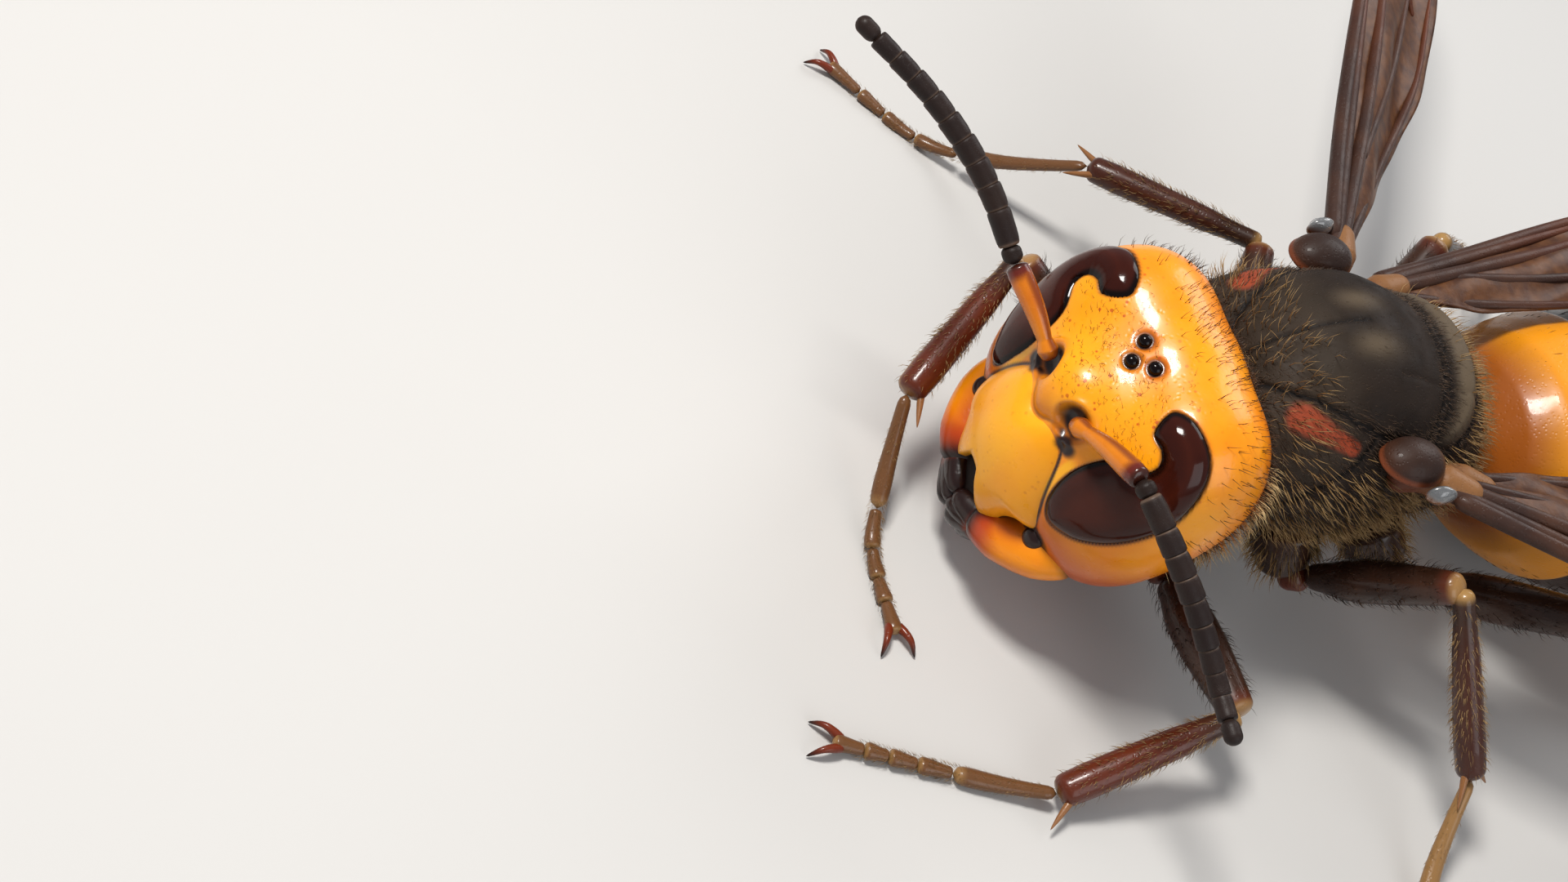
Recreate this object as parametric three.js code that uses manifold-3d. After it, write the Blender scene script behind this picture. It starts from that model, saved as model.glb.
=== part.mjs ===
// Asian giant hornet, life size, standing with its head low and its wings half open.
// Millimetres. Before the last line the middle of the thorax is the origin: the hornet faces -Y,
// its left side is +X and its back is +Z. The whole is then lifted so that its feet stand at Z = 0.

import * as THREE from 'three';
import { mergeVertices } from 'three/addons/utils/BufferGeometryUtils.js';
import Module from 'manifold-3d';

const wasm = await Module();
wasm.setup();

// Sizes that everything follows
const GAP = 0.3; // space kept between neighbouring pieces
const SEAM = 0.42; // width of a cut round an outlined plate, which narrows at its corners
const GROUND = -8.0; // height of the ground under the middle of the thorax
const SNAP = 0.012; // corners nearer than this are one corner

// Head: its middle, its turn on the neck, and the eye and face outlines
const HEAD_AT = [0.46, -7.89, -0.66];
const HEAD_TURN = [-2.8, 4.1, 3.6]; // degrees about X, Y and Z
const HEAD_CORE = [0, 0.3, 0]; // the point inside the head from which its surface is drawn
const EYE_BULGE = 0.22; // how far an eye stands out of the head
const EYE_DEPTH = 0.9; // how far an eye reaches into the head
const EYE_SEAM = 2.3; // half the gap round an eye, in degrees
const CLYPEUS_BACK = -2.1; // rear face of the face plate
const NECK_RADIUS = 0.95;

// The C-shaped outline of the left eye, seen from the core of the head:
// degrees round from straight ahead, and degrees up
const EYE_OUTLINE = [
  [52, 53], [65, 53], [76, 44], [78.5, 35], [77.5, 25], [75, 14], [69, 3],
  [60, -8], [50, -17], [42, -20.5], [37, -16], [34.5, -5], [35.5, 7],
  [40, 18], [46.5, 26], [57, 29], [59.5, 34], [57, 39], [50, 43],
];

// Left half of the face plate outline, from its top to the notch between its lobes: x and z
const CLYPEUS_OUTLINE = [
  [0, 0.78], [0.7, 0.7], [1.15, 0.25], [1.55, -0.6], [2.0, -1.5], [2.55, -2.2], [2.6, -2.7],
  [2.1, -2.85], [1.78, -3.3], [1.6, -4.05], [1.3, -4.5], [1.02, -4.35], [0.72, -3.65], [0.4, -3.2], [0, -3.1],
];

// Antennae, from the middle of the head: elbow, middle and tip
const SOCKET = [1.09, -3.05, 1.28];
const ANTENNA_ROUTES = {
  right: [[-3.62, -4.35, 2.62], [-5.7, -5.3, 3.7], [-7.95, -6.9, 4.55], [-10.35, -9.2, 5.15]],
  left: [[4.05, -2.95, 3.05], [5.75, -2.3, 2.6], [7.75, -1.45, 1.75], [9.7, -0.8, 0.8], [11.4, -0.85, 0.7]],
};
const SCAPE_RADIUS = 0.42;
const SCAPE_SHAPE = [0.7, 0.62, 0.85, 0.95, 1, 1, 0.95]; // thickness from socket to elbow, as shares
const SCAPE_ARCH = 0.12; // how far its middle is arched up
const FLAGELLUM_RADIUS = 0.42;
const FLAGELLUM_RINGS = 10;
const RING_SWELL = 0.07; // how much a ring is thicker at its middle

// Left jaw, from the middle of the head: its line from the cheek to the mouth, and its teeth
const MANDIBLE_ROUTE = [[3.2, -1.0, -2.75], [2.9, -1.75, -3.45], [1.95, -2.45, -4.2], [0.75, -2.8, -4.85]];
const MANDIBLE_RADII = [0.95, 1.0, 0.95, 0.68];
const MANDIBLE_FLAT = 0.85; // height of a jaw against its width
const MANDIBLE_TEETH = [[0.72, -2.9, -5.4], [0.5, -3.1, -5.0], [0.5, -3.05, -4.55]];
const TOOTH_LENGTH = [1.03, 0.45, 0.4]; // inwards, forwards and down
const TOOTH_RADIUS = 0.34;
const MIDLINE = 0.16; // neither jaw crosses nearer to the middle of the face than this

// Legs: hip and end of the coxa of the left side, then the lengths of thigh, shin and foot
const LEG_SIZES = {
  fore: { hip: [2.0, -3.4, -3.2], coxa: [2.8, -4.8, -5.1], femur: 6.2, tibia: 6.4, thick: 0.78 },
  mid: { hip: [2.3, -0.2, -3.6], coxa: [3.4, 0.2, -5.3], femur: 6.7, tibia: 6.9, thick: 0.72 },
  hind: { hip: [2.2, 3.0, -3.4], coxa: [3.5, 4.4, -5.1], femur: 8.0, tibia: 9.0, thick: 0.78 },
};
const COXA_RADII = [1.15, 1.1, 0.75];
const FEMUR_SHAPE = [0.7, 0.72, 1, 1.02, 0.95, 0.85, 0.68]; // from hip to knee, as shares
const TIBIA_SHAPE = [0.5, 0.62, 0.68, 0.7, 0.66]; // from knee to ankle, as shares
const SPUR_RADIUS = 0.2;
const SPUR_REACH = 0.7; // how far a spur stands past the ankle
const SPUR_SPREAD = 0.95; // and out to the side
const FOOT_RADIUS = 0.36;
const FOOT_HEIGHT = 0.27; // middle of a foot above the ground: the pads below it are flat
const FOOT_JOINTS = [0, 0.46, 0.62, 0.75, 0.86, 1.001]; // ends of its five joints, as shares
const FOOT_WAIST = 0.74; // thickness at the start of a joint, as a share
const CLAW_RADIUS = 0.2;
const CLAW_REACH = 0.75;
const CLAW_SPREAD = 0.6;

// Where each leg stands: ankle, the side that the knee points to, and the foot's route
const STANCES = {
  fore_left: { ankle: [10.1, -9.8, -7.35], knee: [9.2, -3.4, -4.4], foot: [[9.4, -12.0], [7.9, -16.8]] },
  fore_right: { ankle: [-2.8, -12.7, -4.5], knee: [-6.7, -7.3, -2.2], foot: [[0.9, -13.5], [4.2, -13.6]] },
  mid_left: { ankle: [11.2, 4.6, -5.2], knee: [7.5, 2.6, -0.3], foot: [[14.6, 2.8], [19.6, 0.2]] },
  mid_right: { ankle: [-13.2, -2.4, -4.0], knee: [-9.1, 2.6, -2.8], foot: [[-17.2, -6.4], [-20.7, -9.4]] },
  hind_left: { ankle: [12.0, 15.5, -5.6], knee: [8.5, 9.0, 0], foot: [[13.8, 19.2], [15.8, 26.3]] },
  hind_right: { ankle: [-10.5, 16.4, -5.6], knee: [-8.5, 9.5, 0], foot: [[-12.3, 20.0], [-15.2, 27.2]] },
};

// Abdomen: the line through its middle, where each segment ends along it, and half its width there
const ABDOMEN_LINE = [[0, 6.1, -1.6], [0, 10, -1.9], [0, 16, -2.6], [0, 22, -3.9], [0, 26.8, -5.2]];
const ABDOMEN_ENDS = [0.3, 4.2, 8.6, 12.3, 15.5, 18.3, 21.0];
const ABDOMEN_TALL = 0.86; // height of the abdomen against its width
const ABDOMEN_STEP = 0.2; // how far a segment's rear rim stands over the next segment
const PETIOLE_RADIUS = 0.75;

// Wings: root of the left side, length, width, and how each is laid
const WING_THICK = 0.5;
const VEIN_RADIUS = 0.4;
const WINGS = {
  fore_left: { side: 1, root: [4.35, 1.0, 1.9], long: 29, wide: 4.9, sweep: 58, rise: 8, roll: -6 },
  fore_right: { side: -1, root: [4.35, 1.0, 1.9], long: 29, wide: 4.9, sweep: 28, rise: 6, roll: -30 },
  hind_left: { side: 1, root: [3.7, 2.7, 1.0], long: 20, wide: 4.4, sweep: 69, rise: 2, roll: 4 },
  hind_right: { side: -1, root: [3.7, 2.7, 1.2], long: 20, wide: 4.4, sweep: 77, rise: 6, roll: 4 },
};

const rad = THREE.MathUtils.degToRad;
const v = (x, y, z) => new THREE.Vector3(x, y, z);
const vectors = (list) => list.map((p) => v(...p));
const mirrored = (point, side) => [point[0] * side, point[1], point[2]];

// Colours of the living insect
const finish = (color, roughness, metalness = 0) =>
  new THREE.MeshStandardMaterial({ color, roughness, metalness });
const FINISHES = {
  orange: () => finish(0xf29a12, 0.3),
  eye: () => finish(0x2c0f0c, 0.12),
  scape: () => finish(0xc4660f, 0.35),
  dark: () => finish(0x1c1512, 0.5),
  velvet: () => finish(0x17130f, 0.8),
  russet: () => finish(0x5a2412, 0.45),
  amber: () => finish(0xd98a1e, 0.4),
  leg: () => finish(0x2a1a12, 0.45),
  foot: () => finish(0x6b4320, 0.5),
  wing: () => finish(0x5d3a1a, 0.35),
};

// Volume inside a closed set of triangles, negative when they face inwards
function signedVolume(corners, faces) {
  const corner = (i) => v(corners[faces[i] * 3], corners[faces[i] * 3 + 1], corners[faces[i] * 3 + 2]);
  let total = 0;
  for (let i = 0; i < faces.length; i += 3) {
    total += corner(i).dot(corner(i + 1).cross(corner(i + 2))) / 6;
  }
  return total;
}

// A closed geometry as a solid that can be joined and cut
function solid(geometry) {
  const plain = geometry.clone();
  plain.deleteAttribute('normal');
  plain.deleteAttribute('uv');
  const merged = mergeVertices(plain, 1e-4);
  const corners = Float32Array.from(merged.attributes.position.array);
  const faces = Uint32Array.from(merged.index.array);
  if (signedVolume(corners, faces) < 0) faces.reverse();
  const mesh = new wasm.Mesh({
    numProp: 3,
    vertProperties: corners,
    triVerts: faces,
    tolerance: SNAP,
  });
  return new wasm.Manifold(mesh);
}

const join = (first, ...others) => others.reduce((body, other) => body.add(other), first);
const cut = (first, ...others) => others.reduce((body, other) => body.subtract(other), first);

// The largest piece of a solid, without loose scraps
function largest(body) {
  const pieces = body.decompose();
  pieces.sort((a, b) => b.volume() - a.volume());
  return pieces[0];
}

// A solid back as a named mesh in a group
function addPart(group, name, body, material) {
  const result = largest(body).getMesh();
  const geometry = new THREE.BufferGeometry();
  const corners = new Float32Array(result.numVert * 3);
  for (let i = 0; i < result.numVert; i += 1) {
    for (let k = 0; k < 3; k += 1) {
      corners[i * 3 + k] = result.vertProperties[i * result.numProp + k];
    }
  }
  geometry.setAttribute('position', new THREE.BufferAttribute(corners, 3));
  geometry.setIndex([...result.triVerts]);
  geometry.computeVertexNormals();
  const mesh = new THREE.Mesh(geometry, material);
  mesh.name = name;
  group.add(mesh);
  return mesh;
}

// Fields: each returns about how far a point lies outside a rounded form

// A rounded lump
function lump(at, size) {
  const smallest = Math.min(...size);
  return (p) => {
    const x = p.x - at[0];
    const y = p.y - at[1];
    const z = p.z - at[2];
    const near = Math.hypot(x / size[0], y / size[1], z / size[2]);
    const slope = Math.hypot(x / size[0] ** 2, y / size[1] ** 2, z / size[2] ** 2);
    return slope < 1e-9 ? -smallest : (near * (near - 1)) / slope;
  };
}

// The same lump on both sides
const pair = (at, size) => [lump(at, size), lump(mirrored(at, -1), size)];

// Two distances melted into one over a soft edge
function melt(a, b, soft) {
  const h = Math.max(soft - Math.abs(a - b), 0) / soft;
  return Math.min(a, b) - (h * h * soft) / 4;
}

// A form built of lumps, with hollows pressed into it
function form(lumps, hollows, soft, edge) {
  return (p) => {
    const built = lumps.reduce((d, part) => melt(d, part(p), soft), 1e3);
    return hollows.reduce((d, part) => -melt(-d, part(p), edge), built);
  };
}

// The closed surface of a form, drawn from a point inside it. A positive grow moves it outwards.
function surface(field, core, columns, rows, grow = 0) {
  const geometry = new THREE.SphereGeometry(1, columns, rows);
  const place = geometry.attributes.position;
  const middle = v(...core);
  const way = v(0, 0, 0);
  const probe = v(0, 0, 0);
  for (let i = 0; i < place.count; i += 1) {
    way.fromBufferAttribute(place, i).normalize();
    let reach = 12;
    for (let step = 0; step < 90; step += 1) {
      probe.copy(middle).addScaledVector(way, reach);
      reach -= (field(probe) - grow) * 0.7;
    }
    probe.copy(middle).addScaledVector(way, reach);
    place.setXYZ(i, probe.x, probe.y, probe.z);
  }
  return geometry;
}

// A bent, tapered round bar. radius gives its thickness from 0 at the start to 1 at the end,
// flat is its height against its width, and grow makes it larger all over.
function bar(points, radius, { sides = 8, steps = 8, flat = 1, up = [0, 0, 1], blunt = 0.5, grow = 0 } = {}) {
  const path = new THREE.CatmullRomCurve3(vectors(points), false, 'centripetal');
  const long = path.getLength();
  const geometry = new THREE.CylinderGeometry(1, 1, 1, sides, steps);
  const place = geometry.attributes.position;
  const reference = v(...up);
  for (let i = 0; i < place.count; i += 1) {
    const along = place.getY(i) + 0.5;
    const eased = along - (Math.sin(2 * Math.PI * along) / (2 * Math.PI)) * 0.6;
    const middle = path.getPointAt(eased);
    const tangent = path.getTangentAt(eased);
    const over = (eased * 2 - 1) * grow;
    middle.addScaledVector(tangent, over);
    const upward = reference.clone().addScaledVector(tangent, -reference.dot(tangent)).normalize();
    const side = tangent.clone().cross(upward);
    const inset = Math.min(eased, 1 - eased) * long;
    const rim = inset < blunt ? 0.55 + 0.45 * Math.sqrt(1 - (1 - inset / blunt) ** 2) : 1;
    const wide = radius(eased) * rim + grow;
    const tall = radius(eased) * rim * flat + grow;
    const spot = middle
      .addScaledVector(side, place.getX(i) * wide)
      .addScaledVector(upward, place.getZ(i) * tall);
    place.setXYZ(i, spot.x, spot.y, spot.z);
  }
  return geometry;
}

// A smooth thickness through evenly spaced values
function taper(...values) {
  return (along) => {
    const at = THREE.MathUtils.clamp(along, 0, 1) * (values.length - 1);
    const low = Math.min(Math.floor(at), values.length - 2);
    return THREE.MathUtils.lerp(values[low], values[low + 1], at - low);
  };
}

// A round-cornered cone from a to b, for teeth, spurs and claws
function spike(from, to, radius, sides = 5, grow = 0) {
  return bar([from, to], taper(radius, radius * 0.62, 0.07), { sides, steps: 2, blunt: 0.01, grow });
}

// A closed outline through a few points, moved outwards by a distance
function outline(points, count, outwards = 0) {
  const loop = new THREE.CatmullRomCurve3(points.map(([x, y]) => v(x, y, 0)), true, 'centripetal');
  const turn = THREE.ShapeUtils.area(points.map(([x, y]) => new THREE.Vector2(x, y))) > 0 ? 1 : -1;
  return Array.from({ length: count }, (unused, i) => {
    const spot = loop.getPointAt(i / count);
    const ahead = loop.getTangentAt(i / count);
    return new THREE.Vector2(spot.x + ahead.y * outwards * turn, spot.y - ahead.x * outwards * turn);
  });
}

// A block between two planes with an outline for its section. map places its three coordinates.
function block(section, low, high, map) {
  const geometry = new THREE.ExtrudeGeometry(new THREE.Shape(section), {
    depth: high - low,
    bevelEnabled: false,
    steps: 1,
  });
  const place = geometry.attributes.position;
  for (let i = 0; i < place.count; i += 1) {
    const spot = map(place.getX(i), place.getY(i), place.getZ(i) + low);
    place.setXYZ(i, spot.x, spot.y, spot.z);
  }
  return solid(geometry);
}

const hornet = new THREE.Group();
const headGroup = new THREE.Group();
headGroup.position.set(...HEAD_AT);
headGroup.rotation.set(...HEAD_TURN.map(rad));
hornet.add(headGroup);
headGroup.updateMatrix();
const toBody = (geometry) => geometry.clone().applyMatrix4(headGroup.matrix);

// Head

const headField = form(
  [
    lump([0, 0.3, 0.15], [4.4, 2.8, 3.9]),
    lump([0, 0.9, 0.9], [3.9, 2.25, 3.2]),
    ...pair([2.5, 0.4, 0.65], [2.5, 2.85, 3.5]),
    ...pair([2.3, -0.3, -1.4], [2.6, 2.5, 2.9]),
    lump([0, -1.5, -1.1], [2.9, 2.1, 3.3]),
    lump([0, -1.2, 0.9], [2.4, 1.8, 1.8]),
    lump([0, -2.65, 1.35], [0.95, 0.75, 0.85]),
    lump([0, -1.55, 2.86], [0.24, 0.24, 0.24]),
    ...pair([0.44, -1.1, 3.12], [0.22, 0.22, 0.22]),
  ],
  [
    lump([0, 4.9, -0.7], [2.6, 2.3, 2.3]),
    ...pair([SOCKET[0], SOCKET[1] - 0.3, SOCKET[2]], [0.55, 0.5, 0.55]),
  ],
  0.9,
  0.35,
);
const headGrownGeometry = surface(headField, HEAD_CORE, 24, 18, GAP + 0.05);
const headGrown = solid(headGrownGeometry);
const headGrownInBody = solid(toBody(headGrownGeometry));

// A wedge from inside the head out through the outline of an eye
function eyeWedge(side, outwards) {
  const reachIn = 1.5;
  const reachOut = 9;
  return block(outline(EYE_OUTLINE, 28, outwards), 0, 1, (round, high, out) => {
    const far = THREE.MathUtils.lerp(reachIn, reachOut, out);
    const level = Math.cos(rad(high)) * far;
    return v(
      HEAD_CORE[0] + side * Math.sin(rad(round)) * level,
      HEAD_CORE[1] - Math.cos(rad(round)) * level,
      HEAD_CORE[2] + Math.sin(rad(high)) * far,
    );
  });
}

// The face plate's outline carried straight back through the head
function clypeusBlock(outwards, back) {
  const half = CLYPEUS_OUTLINE.slice(1, -1).map(([x, z]) => [-x, z]).reverse();
  const section = outline([...CLYPEUS_OUTLINE, ...half], 34, outwards);
  return block(section, -7, back, (x, z, y) => v(x, y, z));
}

const eyeShell = solid(surface(headField, HEAD_CORE, 32, 24, EYE_BULGE));
const eyeFloor = solid(surface(headField, HEAD_CORE, 18, 14, -EYE_DEPTH));
const eyePocketFloor = solid(surface(headField, HEAD_CORE, 18, 14, -EYE_DEPTH - GAP - 0.1));
const clypeusShell = solid(
  new THREE.SphereGeometry(1, 28, 20).scale(4.0, 3.3, 5.2).translate(0, -0.6, -1.6),
);
const clypeus = clypeusShell.intersect(clypeusBlock(0, CLYPEUS_BACK));
const clypeusGap = clypeusBlock(SEAM, CLYPEUS_BACK + GAP);

const neckRoute = [[0.42, -6.9, -0.75], [0.2, -5.4, -0.7], [0, -4.0, -0.5]];
const neckBar = (grow) => solid(bar(neckRoute, () => NECK_RADIUS, { sides: 12, steps: 3, grow }));
const bodyToHead = headGroup.matrix.clone().invert();
const neckHoleInHead = solid(
  bar(neckRoute, () => NECK_RADIUS, { sides: 12, steps: 3, grow: GAP }).applyMatrix4(bodyToHead),
);

const head = cut(
  solid(surface(headField, HEAD_CORE, 32, 24)),
  ...[1, -1].map((side) => cut(eyeWedge(side, EYE_SEAM), eyePocketFloor)),
  clypeusGap,
  neckHoleInHead,
);
addPart(headGroup, 'head', head, FINISHES.orange());
addPart(headGroup, 'clypeus', clypeus, FINISHES.amber());

for (const [label, side] of [['left', 1], ['right', -1]]) {
  const eye = cut(eyeShell.intersect(eyeWedge(side, -EYE_SEAM)), eyeFloor);
  addPart(headGroup, `eye_${label}`, eye, FINISHES.eye());
}

// Mandibles: a broad jaw from below the eye to the middle, with dark teeth along its inner edge

for (const [label, side] of [['left', 1], ['right', -1]]) {
  const route = MANDIBLE_ROUTE.map((p) => mirrored(p, side));
  const bladeForm = { sides: 8, steps: 6, flat: MANDIBLE_FLAT, up: [0, 0.5, -1] };
  const blade = solid(bar(route, taper(...MANDIBLE_RADII), bladeForm));
  const teeth = MANDIBLE_TEETH.map(([x, y, z]) => {
    const root = [x + TOOTH_LENGTH[0] * 0.7, y + TOOTH_LENGTH[1] * 0.5, z + TOOTH_LENGTH[2] * 0.25];
    const tip = root.map((c, k) => c - TOOTH_LENGTH[k]);
    return solid(spike(mirrored(root, side), mirrored(tip, side), TOOTH_RADIUS, 4));
  });
  const middle = new THREE.BoxGeometry(8, 20, 20).translate((MIDLINE - 4) * side, 0, 0);
  const jaw = cut(join(blade, ...teeth), headGrown, clypeusGap, solid(middle));
  addPart(headGroup, `mandible_${label}`, jaw, FINISHES.amber());
}

// Antennae: a long scape from its socket to the elbow, then a ringed flagellum

for (const [label, side] of [['left', 1], ['right', -1]]) {
  const [elbow, ...rest] = ANTENNA_ROUTES[label];
  const socket = mirrored([SOCKET[0], SOCKET[1] - 0.05, SOCKET[2]], side);
  const bend = [0, 1, 2].map((k) => (socket[k] + elbow[k]) / 2 + (k === 2 ? SCAPE_ARCH : 0));
  const scapeThick = (t) => taper(...SCAPE_SHAPE)(t) * SCAPE_RADIUS;
  const scape = (grow) =>
    solid(bar([socket, bend, elbow], scapeThick, { sides: 9, steps: 7, grow, blunt: 0.25 }));
  addPart(headGroup, `scape_${label}`, cut(scape(0), headGrown), FINISHES.scape());

  const ringed = (t) => {
    const ring = (t * (FLAGELLUM_RINGS + 0.6)) % 1;
    const swell = 1 + RING_SWELL * Math.sin(Math.PI * ring);
    return FLAGELLUM_RADIUS * THREE.MathUtils.lerp(1.02, 0.74, t ** 1.6) * swell;
  };
  const ringSteps = { sides: 7, steps: FLAGELLUM_RINGS * 2 + 2, blunt: 0.3 };
  const flagellum = solid(bar([elbow, ...rest], ringed, ringSteps));
  addPart(headGroup, `flagellum_${label}`, cut(flagellum, scape(GAP)), FINISHES.dark());
}

// Thorax: one rounded form parted along the seams of its plates

const thoraxField = form(
  [
    lump([0, -0.9, 0.2], [4.15, 4.3, 3.95]),
    lump([0, -0.2, -1.0], [3.9, 4.6, 3.4]),
    ...pair([1.9, -3.0, 0.3], [2.1, 2.5, 2.5]),
    lump([0, 2.2, 1.0], [3.2, 2.3, 2.5]),
    lump([0, 3.5, -0.9], [3.2, 2.6, 2.9]),
  ],
  [],
  0.9,
  0.3,
);
const THORAX_CORE = [0, 0, 0];
const thorax = solid(surface(thoraxField, THORAX_CORE, 28, 20));
const thoraxGrown = solid(surface(thoraxField, THORAX_CORE, 24, 18, GAP + 0.05));

// Seams, as halves of an outline seen from above (x, y) or as a whole one seen from the left (y, z)
const SCUTUM = [
  [0, -5.2], [1.5, -4.5], [2.45, -3.2], [3.15, -1.7], [3.4, -0.3], [3.3, 0.9], [2.3, 1.6], [0, 1.75],
];
const SCUTELLUM = [[0, 2.05], [2.2, 1.95], [3.1, 1.6], [3.1, 2.4], [2.3, 3.3], [0, 3.75]];
const PRONOTUM = [
  [-9, 7], [-1.3, 7], [-1.2, 2.9], [-1.7, 1.9], [-3.2, 0.2], [-4.1, -2.4], [-4.4, -7], [-9, -7],
];
const PROPODEUM = [[9, 7], [3.4, 7], [3.2, 1.6], [2.7, 0.3], [2.9, -2.2], [3.6, -7], [9, -7]];

function fromAbove(half, outwards, low) {
  const other = half.slice(1, -1).map(([x, y]) => [-x, y]).reverse();
  return block(outline([...half, ...other], 26, outwards), low, 7, (x, y, z) => v(x, y, z));
}

function fromSide(whole, outwards) {
  const section = offsetCorners(whole, outwards);
  return block(section, -8, 8, (y, z, x) => v(x, y, z));
}

// A straight-sided outline moved outwards
function offsetCorners(points, outwards) {
  const corners = points.map(([x, y]) => new THREE.Vector2(x, y));
  const turn = THREE.ShapeUtils.area(corners) > 0 ? 1 : -1;
  return corners.map((corner, i) => {
    const before = corner.clone().sub(corners.at(i - 1)).normalize();
    const after = corners[(i + 1) % corners.length].clone().sub(corner).normalize();
    const mean = before.add(after).normalize();
    return new THREE.Vector2(corner.x + mean.y * outwards * turn, corner.y - mean.x * outwards * turn);
  });
}

const PLATE_LOW = 0.9; // the plates of the back reach down to this height inside the thorax
const scutumBlock = (grow) => fromAbove(SCUTUM, grow, PLATE_LOW - grow);
const scutellumBlock = (grow) => fromAbove(SCUTELLUM, grow, PLATE_LOW + 0.3 - grow);
const petioleRoute = [[0, 4.6, -1.45], [0, 6.0, -1.55], [0, 7.2, -1.65]];
const petioleBar = (grow) => solid(bar(petioleRoute, () => PETIOLE_RADIUS, { sides: 12, steps: 3, grow }));
const neckHole = neckBar(GAP);
const front = thorax.intersect(fromSide(PRONOTUM, 0));
const rear = thorax.intersect(fromSide(PROPODEUM, 0));
const plates = {
  mesoscutum: cut(thorax.intersect(scutumBlock(0)), headGrownInBody),
  scutellum: cut(thorax.intersect(scutellumBlock(0)), scutumBlock(SEAM)),
  pronotum: cut(front, scutumBlock(GAP), neckHole, headGrownInBody),
  propodeum: cut(rear, scutellumBlock(GAP), scutumBlock(GAP), petioleBar(GAP)),
};
plates.mesothorax = cut(
  thorax,
  scutumBlock(SEAM),
  scutellumBlock(SEAM),
  fromSide(PRONOTUM, GAP),
  fromSide(PROPODEUM, GAP),
  neckHole,
  headGrownInBody,
);

// Wings: a thin plate with its main veins raised on both faces, on a short root

const wingOutline = (wide) => [
  [0, -0.55], [6, -0.8], [14, -1.15], [22, -1.25], [27, -0.6], [29, 0.9],
  [27, 2.6], [21, wide - 1.5], [12, wide - 1.4], [6, 2.6], [2, 1.2], [0, 0.6],
];
const FORE_VEINS = [
  [[0, -0.3], [8, -0.62], [17, -0.95]],
  [[0, 0.0], [7, 0.15], [14, 0.0], [18.5, -0.85]],
  [[17, -0.95], [22, -0.95], [26.2, -0.3]],
  [[5, 0.3], [11, 1.4], [18, 1.9], [24.5, 1.7]],
  [[1, 0.4], [6, 1.7], [12, 3.1], [17, 3.2]],
  [[14, 0.0], [15.5, 1.2], [15.2, 2.6]],
];
const HIND_SHORT = 0.68; // veins of a hindwing against those of a forewing
const HIND_NARROW = 0.85;
const HIND_VEINS = FORE_VEINS.slice(0, 5).map((vein) =>
  vein.map(([x, y]) => [x * HIND_SHORT, y * HIND_NARROW]),
);
const WING_ROOT = [[-1.6, 0.1, -0.35], [-0.3, 0.05, -0.1], [1.6, 0.0, 0]];
const WING_ROOT_RADII = [0.6, 0.62, 0.45];

function wingGeometryParts(spec, isFore) {
  const long = spec.long / WINGS.fore_left.long;
  const section = wingOutline(spec.wide).map(([x, y]) => [x * long, y * (isFore ? 1 : HIND_NARROW)]);
  const shape = new THREE.Shape(outline(section, 18));
  const plate = new THREE.ExtrudeGeometry(shape, { depth: WING_THICK, bevelEnabled: false });
  plate.translate(0, 0, -WING_THICK / 2);
  const veins = (isFore ? FORE_VEINS : HIND_VEINS).map((vein) => {
    const route = vein.map(([x, y]) => [x, y, 0]);
    return bar(route, () => VEIN_RADIUS, { sides: 4, steps: 3, blunt: 0.3 });
  });
  const root = bar(WING_ROOT, taper(...WING_ROOT_RADII), { sides: 6, steps: 3, blunt: 0.2 });
  return [plate, ...veins, root];
}

for (const [name, spec] of Object.entries(WINGS)) {
  const isFore = name.startsWith('fore');
  const laid = new THREE.Matrix4()
    .makeTranslation(...mirrored(spec.root, spec.side))
    .multiply(new THREE.Matrix4().makeScale(spec.side, 1, 1))
    .multiply(new THREE.Matrix4().makeRotationZ(rad(spec.sweep)))
    .multiply(new THREE.Matrix4().makeRotationY(rad(-spec.rise)))
    .multiply(new THREE.Matrix4().makeRotationX(rad(spec.roll)));
  spec.body = join(...wingGeometryParts(spec, isFore).map((part) => solid(part.applyMatrix4(laid))));
}

// Tegulae: the round scales over the roots of the forewings

const TEGULA_AT = [4.05, -0.15, 2.35];
const TEGULA_SIZE = [0.85, 1.15, 0.75];
const rounded = (at, size, grow = 0) =>
  solid(new THREE.SphereGeometry(1, 12, 8).scale(...size.map((s) => s + grow)).translate(...at));

for (const [label, side] of [['left', 1], ['right', -1]]) {
  const tegula = cut(rounded(mirrored(TEGULA_AT, side), TEGULA_SIZE), thoraxGrown);
  const tegulaGap = rounded(mirrored(TEGULA_AT, side), TEGULA_SIZE, GAP);
  addPart(hornet, `tegula_${label}`, tegula, FINISHES.russet());
  const fore = WINGS[`fore_${label}`];
  const hind = WINGS[`hind_${label}`];
  addPart(hornet, `forewing_${label}`, cut(fore.body, thoraxGrown, tegulaGap), FINISHES.wing());
  addPart(hornet, `hindwing_${label}`, cut(hind.body, thoraxGrown, tegulaGap), FINISHES.wing());
}

// Legs: coxa, thigh with its trochanter, shin with spurs, and foot with claws

// The knee of a leg whose hip end and ankle are known
function kneeOf(hipEnd, ankle, femur, tibia, hint) {
  const span = ankle.clone().sub(hipEnd);
  const reach = span.length();
  const foot = (femur ** 2 - tibia ** 2 + reach ** 2) / (2 * reach);
  const base = hipEnd.clone().addScaledVector(span.normalize(), foot);
  const out = hint.clone().sub(base);
  out.addScaledVector(span, -out.dot(span)).normalize();
  return base.addScaledVector(out, Math.sqrt(Math.max(femur ** 2 - foot ** 2, 0.01)));
}

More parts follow.
